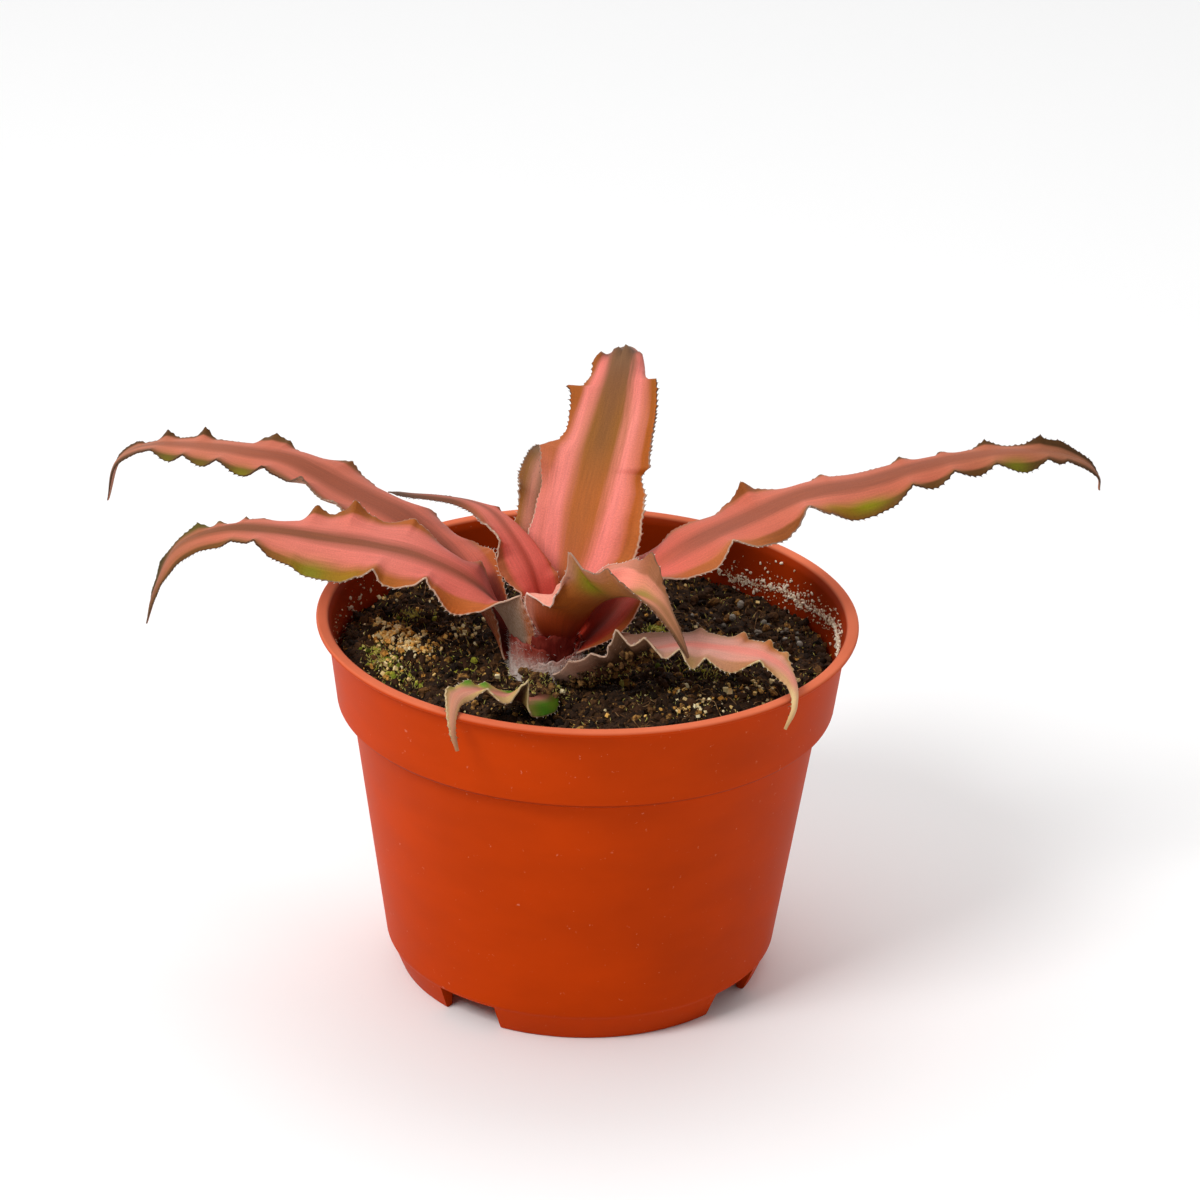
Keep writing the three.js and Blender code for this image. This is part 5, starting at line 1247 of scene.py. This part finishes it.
def litter_leaves(settings, lumps, bristles, moss, random):
    """Wet peat and moss on the leaves that touch the soil."""
    dark = settings.soil_colour
    wet = loose_bits("wet_peat", [
        (0, shaded(dark, 0.3)), (0.5, shaded(dark)), (0.85, "#4A2E18"), (1, "#8A6436")])
    for k, (name, stretch, sides, count, face) in enumerate(LEAF_LITTER):
        blade = Blade(LEAVES[name])
        across = np.linspace(*sides, 15)
        rows = (random.uniform(*stretch, count) * blade.steps).astype(int)
        columns = random.integers(0, len(across), count)
        outward = blade.up[rows] * face
        lying = blade.points(across)[rows, columns] + outward * 0.5
        grow(lumps, seedbed(lying, outward=outward), f"{name}_crumbs_{k}", "soil", On_vertices=True,
             Seed=settings.seed + 20 + k, Material=wet, Smallest=0.25 * MM, Largest=0.85 * MM, Dents=0.6,
             Lift=0.2)
        grow(bristles, seedbed(lying, outward=outward), f"{name}_moss_{k}", "soil", On_vertices=True,
             Seed=settings.seed + 30 + k, Material=moss, Length=1.0 * MM, Thickness=0.12 * MM, Lean=1.0,
             Sides=3)


def crust_wall(settings, lumps, random):
    """A lime crust on the wall above the soil: a dense line, a thin scatter and a few specks."""
    lime = loose_bits("lime_crust", [(0, "#A8765A"), (0.3, "#D4AC88"), (0.65, "#F0D6B4"), (1, "#FFF2DE")])
    crust = np.concatenate([
        wall_points(CRUST_MARKS, 1000, 0.5, random), wall_points(CRUST_MARKS, 620, 1.9, random),
        wall_points(SPECK_MARKS, 110, 2.2, random)])
    grow(lumps, seedbed(crust, size=random.uniform(0.4, 1, len(crust))), "wall_crust", "soil",
         On_vertices=True, Seed=settings.seed + 6, Material=lime, Smallest=0.08 * MM, Largest=0.5 * MM,
         Dents=0.6)


def strew_fibres(random):
    """Loose fibres that wander over the soil, each arched a little above it."""
    points, edges = [], []
    for fibre in range(FIBRES):
        x, y = [random.uniform(*span) for span in FIBRE_FIELD]
        if fibre < CROWN_FIBRES:
            x, y = [random.uniform(*span) for span in CROWN_FIELD]
        heading, steps = random.uniform(0, 2 * math.pi), random.integers(6, 16)
        for step in range(steps):
            if math.hypot(x, y) > FIBRE_REACH:
                break
            arch = 0.5 + 0.8 * math.sin(math.pi * step / steps) * random.uniform(0.3, 1)
            if step:
                edges.append((len(points) - 1, len(points)))
            points.append(soil_point(x, y, arch))
            heading += random.normal(0, 0.35)
            x, y = x + FIBRE_STEP * math.cos(heading), y + FIBRE_STEP * math.sin(heading)
    bed = seedbed(points, tone=random.uniform(0, 1, len(points)))
    bed.data.edges.add(len(edges))
    bed.data.edges.foreach_set("vertices", np.array(edges).ravel())
    bed.data.update()
    coir = loose_bits("coir_fibre", [(0, "#2E1C10"), (0.5, "#6E4A2A"), (1, "#B08A5C")])
    grow(thread_tree(), bed, "coir_fibres", "soil", Material=coir, Thickness=0.08 * MM)


def make_litter(settings):
    """What lies on the soil and the low leaves, and the lime crust on the wall."""
    lumps, bristles = lump_tree(), bristle_tree()
    random = np.random.default_rng(settings.seed)
    green = settings.moss_colour
    moss = loose_bits("cushion_moss", [
        (0, shaded(green, 0.4)), (0.45, shaded(green)), (0.8, "#A8A234"), (1, "#D0C468")])
    strew_soil(settings, lumps, bristles, moss)
    litter_leaves(settings, lumps, bristles, moss, random)
    crust_wall(settings, lumps, random)
    strew_fibres(random)

# ---- leaves ----


def margin(turns, s):
    """A margin's rise and reach at s: round hollows and sharp crests between its turning points."""
    stops = np.array([(0, 0, 0), *[(*t, 0)[:3] for t in turns], (1, 0, 0)], float)
    i = np.clip(np.searchsorted(stops[:, 0], s, side="left"), 1, len(stops) - 1)
    start, end = stops[i - 1], stops[i]
    t = (s - start[:, 0]) / (end[:, 0] - start[:, 0])
    climbs = (end[:, 1] + end[:, 2]) > (start[:, 1] + start[:, 2])
    sharp = np.where(climbs, 1 - np.cos(np.pi * t / 2), np.sin(np.pi * t / 2))
    ease = CREST * sharp + (1 - CREST) * (1 - np.cos(np.pi * t)) / 2
    return start[:, 1:] * (1 - ease[:, None]) + end[:, 1:] * ease[:, None]


def teeth(length, s, seed, low, high):
    """How far a margin's forward-leaning teeth stand out at s, and the places and sizes of their tips."""
    random = np.random.default_rng(seed)
    count = round(length / TOOTH_PITCH)
    gaps = random.uniform(0.7, 1.3, count)
    starts = np.concatenate([[0], np.cumsum(gaps)]) / gaps.sum()
    tips = starts[:-1] + TOOTH_TIP * np.diff(starts)
    heights = random.uniform(0.5, 1.1, count) * (low + (high - low) * tips)
    i = np.clip(np.searchsorted(starts, s, side="right") - 1, 0, count - 1)
    t = (s - starts[i]) / (starts[i + 1] - starts[i])
    behind_tip = np.clip((1 - t) / TOOTH_BACK, 0, 1) ** 1.3
    shape = np.where(t < TOOTH_TIP, (t / TOOTH_TIP) ** 1.6, behind_tip)
    fade = smoothstep(0, 0.04, s) * (1 - smoothstep(0.93, 0.99, s))
    return heights[i] * shape * fade - TOOTH_ROOT * fade, tips, heights


class Blade:
    """A leaf's middle surface, and the frame that carries it along the midrib."""

    def __init__(self, leaf):
        self.path, self.length = even_path(leaf["path"], STATION_PITCH)
        self.steps = len(self.path) - 1
        self.s = np.linspace(0, 1, self.steps + 1)
        stations = np.arange(self.steps + 1)
        span = self.path[np.minimum(stations + 1, self.steps)] - self.path[np.maximum(stations - 1, 0)]
        self.tangent = span / np.linalg.norm(span, axis=1)[:, None]
        normal = np.array([0.0, 0.0, 1.0])
        turn = np.radians(along(leaf["roll"], self.s))
        self.up = np.empty_like(self.path)
        for i, tangent in enumerate(self.tangent):
            normal = normal - tangent * normal.dot(tangent)
            normal /= np.linalg.norm(normal)
            self.up[i] = normal * math.cos(turn[i]) + np.cross(tangent, normal) * math.sin(turn[i])
        self.right = np.cross(self.tangent, self.up)
        self.half = along(leaf["half"], self.s)
        self.cup = along(leaf["cup"], self.s)
        self.waves = {-1: margin(leaf["left"], self.s), 1: margin(leaf["right"], self.s)}

    def points(self, across, teeth_out=None):
        """The points at the places across the blade, for each station."""
        made = np.empty((self.steps + 1, len(across), 3))
        for j, v in enumerate(across):
            q = abs(v)
            rise, reach = self.waves[-1 if v < 0 else 1].T
            width = self.half + reach * q ** RUFFLE_POWER
            if teeth_out is not None:
                width = width + teeth_out[-1 if v < 0 else 1] * q ** TOOTH_POWER
            lift = self.cup * self.half * q ** CUP_POWER + rise * q ** RUFFLE_POWER
            # the more the blade is cupped, the narrower it stands
            side = width * v * np.sqrt(np.maximum(0.2, 1 - 0.35 * (self.cup * q ** 0.6) ** 2))
            made[:, j] = self.path + self.right * side[:, None] + self.up * lift[:, None]
        return made


def unit(vectors):
    """The vectors at length 1."""
    return vectors / np.maximum(np.linalg.norm(vectors, axis=-1, keepdims=True), 1e-12)


def painted(look, face, s, v):
    """The colour and strength of a leaf's patches at each point."""
    colour = np.zeros((len(s), 4))
    for side, place, across, reach_s, reach_v, shade, strength in look["patches"]:
        if side != face:
            continue
        far = ((s - place) / reach_s) ** 2 + ((v - across) / reach_v) ** 2
        share = strength * np.exp(-far)
        cover = share + colour[:, 3] * (1 - share)
        shade = np.array(linear(shade)[:3])
        mixed = (shade * share[:, None] + colour[:, :3] * (colour[:, 3] * (1 - share))[:, None])
        colour[:, :3] = mixed / np.maximum(cover, 1e-6)[:, None]
        colour[:, 3] = cover
    return colour


def past_the_strip(middle, half):
    """How far each point lies out on a lobe: 0 within the blade's even strip, 1 well beyond it."""
    rows, columns = middle.shape[:2]
    steps = np.linalg.norm(np.diff(middle, axis=1), axis=2)
    centre = columns // 2
    arc = np.zeros((rows, columns))
    arc[:, centre + 1:] = np.cumsum(steps[:, centre:], axis=1)
    arc[:, :centre] = np.cumsum(steps[:, :centre][:, ::-1], axis=1)[:, ::-1]
    # the front margin's lobes hang down and the far margin's stand up
    rise = middle[:, :, 2] - middle[:, centre:centre + 1, 2]
    away = np.clip((middle[:, :, 1] - middle[:, centre:centre + 1, 1]) / 2, -1, 1)
    arc += rise * away
    reach = round(LOBE_WINDOW / STATION_PITCH)
    for side in (slice(0, centre), slice(centre + 1, columns)):
        strip = arc[:, side].max(axis=1) / half
        for even_out in (np.min, np.mean):
            padded = np.pad(strip, reach, mode="edge")
            strip = even_out(np.lib.stride_tricks.sliding_window_view(padded, 2 * reach + 1), axis=1)
        arc[:, side] = (arc[:, side] - (strip * half)[:, None] + LOBE_INSET) / LOBE_DEPTH
    arc[:, centre] = 0
    return np.clip(arc, 0, 1) * smoothstep(0.3, 0.75, np.abs(np.linspace(-1, 1, columns)))


def near(place, reach, s):
    """A hump that is 1 at the place along the blade and fades out over the reach."""
    return np.exp(-((s - place) / reach) ** 2)


def blade_surface(blade, look, across, margins):
    """The blade's middle surface with its teeth, and the lips and the ruffle that its look gives it."""
    middle = blade.points(across, {side: found[0] for side, found in margins.items()})
    for side, place, reach, rise, out in look.get("lips", []):
        here = near(place, reach, blade.s)[:, None, None]
        q = np.clip(across * side, 0, 1)[None, :, None]
        # the blade swells beside its margin, and the margin itself rolls back
        middle += here * rise * near(0.84, 0.1, q) * np.array([0, 0, 1.0])
        middle -= here * out * smoothstep(0.86, 1, q) * blade.up[:, None, :]
    if "ruffle" in look:
        place, reach, height = look["ruffle"]
        # a little more than four points over the width, unevenly spaced
        points = np.abs((across * 2.3 + 0.15 + 0.2 * np.sin(5 * across)) % 1 - 0.5) * 2
        middle[:, :, 2] += near(place, reach, blade.s)[:, None] * height * (1 - points) ** 1.6
    return middle


def thickened(middle, thick):
    """The points and faces of a closed blade: its two skins and the four strips that join their rims."""
    rows, columns = middle.shape[:2]
    lengthwise = unit(np.gradient(middle, axis=0))
    crosswise = unit(np.gradient(middle, axis=1))
    outward = unit(np.cross(crosswise, lengthwise))
    skins = [middle + outward * thick[..., None] / 2, middle - outward * thick[..., None] / 2]
    size = rows * columns
    grid = np.arange(size).reshape(rows, columns)
    a, b, c, d = grid[:-1, :-1], grid[:-1, 1:], grid[1:, 1:], grid[1:, :-1]
    faces = [np.stack([a, b, c, d], -1).reshape(-1, 4), np.stack([a, d, c, b], -1).reshape(-1, 4) + size]
    rims = [(grid[:-1, 0], grid[1:, 0]), (grid[1:, -1], grid[:-1, -1]), (grid[0, 1:], grid[0, :-1]),
            (grid[-1, :-1], grid[-1, 1:])]
    faces += [np.stack([here, after, after + size, here + size], -1) for here, after in rims]
    return np.concatenate([skin.reshape(-1, 3) for skin in skins]), np.concatenate(faces).tolist()


def spine_rows(blade, middle, margins, look):
    """A leaf's spines, one on each tooth: place, direction, size, and how brown it is."""
    at_base, at_tip, brown_from = look["spines"]
    rows = []
    for side, (_, tips, heights) in margins.items():
        edge, inside = (0, 2) if side < 0 else (-1, -3)
        out = unit(middle[:, edge] - middle[:, inside])
        rim = middle[:, edge] + out * heights.mean() * 0.2
        for tip in tips[(tips > 0.03) & (tips < 0.96)]:
            spot, aim, ahead = [np.array([np.interp(tip, blade.s, axis) for axis in field.T])
                                for field in (rim, out, blade.tangent)]
            brown = smoothstep(brown_from - 0.2, brown_from, tip)
            rows.append((*spot, *(aim + 0.7 * ahead), at_base + (at_tip - at_base) * tip, brown))
    return rows


def make_leaf(name, seed, settings):
    """One leaf as a closed blade with toothed margins; gives the rows of its spines."""
    leaf, look = LEAVES[name], LOOKS[name]
    blade = Blade(leaf)
    widest = max(leaf["half"])
    columns = 2 * max(9, round(widest * 1.5)) + 1
    across = np.sin(np.linspace(-1, 1, columns) * COLUMN_CROWDING) / math.sin(COLUMN_CROWDING)
    margins = {side: teeth(blade.length, blade.s, seed + side, *look["teeth"]) for side in (-1, 1)}
    middle = blade_surface(blade, look, across, margins)
    slim = smoothstep(0, 0.05, 1 - blade.s)[:, None] * 0.6 + 0.4
    thick = BLADE_THICKNESS + (MARGIN_THICKNESS - BLADE_THICKNESS) * np.abs(across) ** 1.5
    points, faces = thickened(middle, thick[None, :] * slim)
    made = mesh_object(name + "_blade", points * MM, faces, living_leaf(name, look, settings))
    s, v = [x.reshape(-1) for x in np.meshgrid(blade.s, across, indexing="ij")]
    # both skins share their places; the third number of share tells the under side from the top
    share = np.zeros((2, len(s), 3))
    share[:, :, 0], share[:, :, 1], share[1, :, 2] = v, s, 1
    grain = np.zeros((2, len(s), 3))
    grain[:, :, 0], grain[:, :, 1], grain[:, :, 2] = v * widest, s * blade.length, seed * 10
    patch = np.stack([painted(look, face, s, v) for face in ("top", "under")])
    lobe = np.tile(past_the_strip(middle, blade.half).reshape(-1), 2)
    mark(made.data, share=share, lobe=lobe, grain=grain, patch=patch)
    settle(made, "leaf", name)
    return spine_rows(blade, middle, margins, look)


def make_leaves(settings):
    """All the blades, and the spines along their margins."""
    spines = []
    for k, name in enumerate(LEAVES):
        spines += make_leaf(name, settings.seed + 3 * k, settings)
    spines = np.array(spines)
    horn = loose_bits("dry_spines", [(0, "#E8D8CC"), (0.5, "#C8A088"), (1, "#5E4430")], 0.6)
    bed = seedbed(spines[:, :3], outward=spines[:, 3:6], size=spines[:, 6], tone=spines[:, 7])
    grow(bristle_tree(), bed, "leaf_spines", "leaf", On_vertices=True, Seed=settings.seed, Material=horn,
         Length=settings.spine_length, Thickness=0.1 * MM, Lean=0.35, Sides=4)


def sheath_point(k, sheath, a, t, skin):
    """The direction and place of a point of a sheath, from -1 to 1 across it and 0 to 1 up it."""
    aim, spread_angle, foot_radius, foot, head_radius, head, _, _ = sheath
    angle = math.radians(aim + spread_angle * a)
    # its head is rounded and a little ragged, and its wall thins towards the sides and the head
    summit = head - 2.2 * abs(a) ** 2.2 + 0.3 * math.sin(23 * a + k)
    thickness = 0.25 + 0.45 * (1 - a * a)
    radius = foot_radius + (head_radius - foot_radius) * t ** 1.5 - skin * thickness * (1.15 - t)
    # folds and ridges run up it, and its sides are drawn in
    radius += 0.25 * math.sin(7 * angle + 1.7 * k) * (1 - t) + 0.12 * math.sin(19 * angle + 3 * k)
    radius -= 0.7 * abs(a) ** 5
    x = CROWN_CENTRE[0] + radius * math.cos(angle)
    y = CROWN_CENTRE[1] + radius * math.sin(angle)
    return angle, (x, y, foot + (summit - foot) * t)


def sheath_faces(first):
    """A sheath's faces from its first point on: its outer skin, its inner one and the strip between."""
    count, rows = SHEATH_COLUMNS * SHEATH_ROWS, SHEATH_ROWS
    outer, inner = [], []
    for i in range(SHEATH_COLUMNS - 1):
        for j in range(rows - 1):
            a, d = first + i * rows + j, first + i * rows + j + 1
            b, c = a + rows, d + rows
            outer.append((a, b, c, d))
            inner.append((a + count, d + count, c + count, b + count))
    rim = [first + j for j in range(rows)]
    rim += [first + i * rows + rows - 1 for i in range(1, SHEATH_COLUMNS)]
    rim += [first + (SHEATH_COLUMNS - 1) * rows + j for j in range(rows - 2, -1, -1)]
    rim += [first + i * rows for i in range(SHEATH_COLUMNS - 2, 0, -1)]
    strip = [(here, after, after + count, here + count) for here, after in zip(rim, rim[1:] + rim[:1])]
    return outer, inner, strip

# ---- crown ----


def make_crown(settings):
    """The short stem, wrapped in the clasping bases of the leaves, and the felt on them."""
    core = lathe("core", rounded(CORE_OUTLINE, 1.2, 5), 64)
    points = [Vector(v.co) / MM + Vector((*CROWN_CENTRE, 0)) for v in core.data.vertices]
    faces = [tuple(p.vertices) for p in core.data.polygons]
    bpy.data.objects.remove(core)
    felt = [0.4] * len(points)
    bed_points, bed_faces, bed_out, bed_felt = [], [], [], []
    for k, sheath in enumerate(SHEATHS):
        wool, thins_out = sheath[-2:]
        first, bed_first = len(points), len(bed_points)
        for skin in (0, 1):
            for a in [2 * i / (SHEATH_COLUMNS - 1) - 1 for i in range(SHEATH_COLUMNS)]:
                for t in [j / (SHEATH_ROWS - 1) for j in range(SHEATH_ROWS)]:
                    angle, point = sheath_point(k, sheath, a, t, skin)
                    woolly = wool * (1 - thins_out * t ** 1.5)
                    points.append(Vector(point))
                    felt.append(woolly)
                    if not skin:
                        bed_points.append(point)
                        bed_out.append((0.7 * math.cos(angle), 0.7 * math.sin(angle), 0.5))
                        bed_felt.append(woolly)
        outer, inner, strip = sheath_faces(first)
        faces += [face for pair in zip(outer, inner) for face in pair] + strip
        bed_faces += [tuple(n - first + bed_first for n in face) for face in outer]
    crown = mesh_object("crown_sheaths", np.array(points) * MM, faces, scurfy_sheath())
    mark(crown.data, felt=felt)
    settle(crown, "crown", "crown")
    down = loose_bits("leaf_base_felt", [(0, "#B89888"), (0.5, "#D4C0B4"), (1, "#EEE4DC")], 0.8)
    bed = seedbed(bed_points, bed_faces, outward=bed_out, amount=bed_felt)
    grow(bristle_tree(), bed, "crown_felt", "crown", Density=4.5e6, Seed=settings.seed, Material=down,
         Length=1.2 * MM, Thickness=0.045 * MM, Lean=0.9, Sides=3)

# ---- stage ----

# The camera looks at the height point from the elevation, and is then yawed, pitched and rolled a little.
CAMERA_DISTANCE = 900
CAMERA_ELEVATION = 24.649
CAMERA_HEIGHT_POINT = 76
CAMERA_YAW = 0.165
CAMERA_PITCH = 0.178
CAMERA_ROLL = 1.542
CAMERA_LENS = 135.604
SENSOR_WIDTH = 36
# where the lights face, in metres, as their places are
LIGHTS_AIM = (0, 0, 0.06)


def make_camera():
    """The camera, in front of the pot and a little above it."""
    rise = math.radians(CAMERA_ELEVATION)
    height = CAMERA_DISTANCE * math.sin(rise) + CAMERA_HEIGHT_POINT
    place = Vector((0, -CAMERA_DISTANCE * math.cos(rise), height))
    tilt, yaw = math.radians(CAMERA_PITCH - CAMERA_ELEVATION), math.radians(CAMERA_YAW)
    ahead = Vector((math.cos(tilt) * math.sin(yaw), math.cos(tilt) * math.cos(yaw), math.sin(tilt)))
    level = ahead.cross(Vector((0, 0, 1))).normalized()
    above = level.cross(ahead)
    roll = math.radians(CAMERA_ROLL)
    right = level * math.cos(roll) + above * math.sin(roll)
    up = above * math.cos(roll) - level * math.sin(roll)
    data = bpy.data.cameras.new("camera")
    data.lens, data.sensor_width = CAMERA_LENS, SENSOR_WIDTH
    data.clip_start, data.clip_end = 0.05, 20
    camera = placed("camera", data)
    turned = Matrix((right, up, -ahead)).transposed().to_4x4()
    camera.matrix_world = Matrix.Translation(place * MM) @ turned
    bpy.context.scene.camera = camera


def make_light(name, place, size, power):
    """A square softbox that faces the plant."""
    data = bpy.data.lights.new(name, "AREA")
    data.size, data.energy = size, power
    light = placed(name, data)
    light.location = place
    light.rotation_mode = "QUATERNION"
    light.rotation_quaternion = (Vector(place) - Vector(LIGHTS_AIM)).to_track_quat("Z", "Y")


def make_world(settings):
    """White surroundings: bright behind the plant, darker to the right and on the camera's side."""
    world = bpy.data.worlds.new("studio")
    world.use_nodes = True
    tree = world.node_tree
    place = add(tree, "ShaderNodeTexCoord", output="Generated")
    aim = add(tree, "ShaderNodeSeparateXYZ", {0: place}).node.outputs
    lean = add(tree, "ShaderNodeMath", {0: aim["X"], 1: -0.35, 2: aim["Y"]}, operation="MULTIPLY_ADD")
    share = add(tree, "ShaderNodeMapRange", {
        "Value": lean, "From Min": -0.7, "From Max": 0.45, "To Min": 0.22 * settings.sky,
        "To Max": settings.sky})
    tree.links.new(share, tree.nodes["Background"].inputs["Strength"])
    tree.nodes["Background"].inputs["Color"].default_value = (1, 1, 1, 1)
    bpy.context.scene.world = world


def make_stage(settings):
    """A pale floor, soft studio light and the camera."""
    paper = matt_paper("studio_paper", "#FAFAFA")
    corners = [(-6, -6, 0), (6, -6, 0), (6, 6, 0), (-6, 6, 0)]
    floor = mesh_object("floor", corners, [(0, 1, 2, 3)], paper)
    make_light("key", (-0.75, -0.7, 1.1), 0.5, settings.key_power)
    make_light("fill", (1.0, -0.7, 0.6), 0.9, settings.fill_power)
    make_light("back", (0.1, 0.5, 1.2), 0.8, settings.back_power)
    make_world(settings)
    bpy.context.scene.view_settings.view_transform = "Standard"
    make_camera()

# ---- settings, operators and panel ----

COLOUR = {"subtype": "COLOR", "size": 3, "min": 0, "max": 1}
POWER = {"unit": "POWER", "min": 0}


class EarthStarSettings(PropertyGroup):
    """Sizes, colours and amounts that a user may change before the pieces are built."""

    pot_colour: FloatVectorProperty(
        name="Pot colour", description="Colour of the moulded plastic", default=linear("#BE3B02")[:3],
        **COLOUR)
    soil_colour: FloatVectorProperty(
        name="Soil colour", description="Colour of the damp peat", default=linear("#342010")[:3], **COLOUR)
    moss_colour: FloatVectorProperty(
        name="Moss colour", description="Colour of the moss on the soil", default=linear("#7E8A20")[:3],
        **COLOUR)
    leaf_tint: FloatVectorProperty(
        name="Leaf tint", description="Colour that tints every leaf", default=(1, 0.92, 0.84), **COLOUR)
    spine_length: FloatProperty(
        name="Spine length", description="Length of the marginal spines", default=0.0007, min=0.0001,
        max=0.003, unit="LENGTH")
    lump_density: FloatProperty(
        name="Peat lumps", description="Peat lumps on a square metre of soil", default=3.2e5, min=1e4,
        max=5e5)
    crumb_density: FloatProperty(
        name="Pale crumbs", description="Pale crumbs on a square metre of soil where they lie thickest",
        default=2.2e6, min=0, max=4e6)
    key_power: FloatProperty(
        name="Key light", description="Power of the light from the front left", default=12, **POWER)
    fill_power: FloatProperty(
        name="Fill light", description="Power of the light on the right", default=1, **POWER)
    back_power: FloatProperty(
        name="Back light", description="Power of the light above and behind", default=3, **POWER)
    sky: FloatProperty(
        name="Surrounding light", description="Strength of the white light all round", default=0.95, min=0)
    seed: IntProperty(name="Seed", description="Seed of everything scattered", default=11, min=0)


class EARTHSTAR_OT_pot(Operator):
    """Build the pot"""

    bl_idname = "earth_star.pot"
    bl_label = "Pot"

    def execute(self, context):
        make_pot(context.scene.earth_star)
        return {"FINISHED"}


class EARTHSTAR_OT_soil(Operator):
    """Build the soil bed"""

    bl_idname = "earth_star.soil"
    bl_label = "Soil"

    def execute(self, context):
        make_soil(context.scene.earth_star)
        return {"FINISHED"}


class EARTHSTAR_OT_litter(Operator):
    """Strew peat lumps, crumbs, moss and fibres on the soil"""

    bl_idname = "earth_star.litter"
    bl_label = "Soil litter"

    def execute(self, context):
        make_litter(context.scene.earth_star)
        return {"FINISHED"}


class EARTHSTAR_OT_crown(Operator):
    """Build the crown and its felt"""

    bl_idname = "earth_star.crown"
    bl_label = "Crown"

    def execute(self, context):
        make_crown(context.scene.earth_star)
        return {"FINISHED"}


class EARTHSTAR_OT_leaves(Operator):
    """Build the leaves and their spines"""

    bl_idname = "earth_star.leaves"
    bl_label = "Leaves"

    def execute(self, context):
        make_leaves(context.scene.earth_star)
        return {"FINISHED"}


class EARTHSTAR_OT_stage(Operator):
    """Build the floor, the lights and the camera"""

    bl_idname = "earth_star.stage"
    bl_label = "Stage"

    def execute(self, context):
        make_stage(context.scene.earth_star)
        return {"FINISHED"}


OPERATORS = [
    EARTHSTAR_OT_pot, EARTHSTAR_OT_soil, EARTHSTAR_OT_litter, EARTHSTAR_OT_crown, EARTHSTAR_OT_leaves,
    EARTHSTAR_OT_stage,
]


class EARTHSTAR_PT_panel(Panel):
    """The steps of the build, in order"""

    bl_idname = "EARTHSTAR_PT_panel"
    bl_label = "Earth star"
    bl_space_type = "VIEW_3D"
    bl_region_type = "UI"
    bl_category = "Earth star"

    def draw(self, context):
        settings = context.scene.earth_star
        for key in settings.bl_rna.properties.keys():
            if key not in ("rna_type", "name"):
                self.layout.prop(settings, key)
        for operator in OPERATORS:
            self.layout.operator(operator.bl_idname)


def register():
    """Makes the settings, operators and panel known to Blender."""
    for kind in (EarthStarSettings, *OPERATORS, EARTHSTAR_PT_panel):
        bpy.utils.register_class(kind)
    bpy.types.Scene.earth_star = PointerProperty(type=EarthStarSettings)


def unregister():
    """Takes back what register made known."""
    del bpy.types.Scene.earth_star
    for kind in reversed((EarthStarSettings, *OPERATORS, EARTHSTAR_PT_panel)):
        bpy.utils.unregister_class(kind)


def main():
    register()
    for operator in OPERATORS:
        group, name = operator.bl_idname.split(".")
        getattr(getattr(bpy.ops, group), name)()


if __name__ == "__main__":
    main()
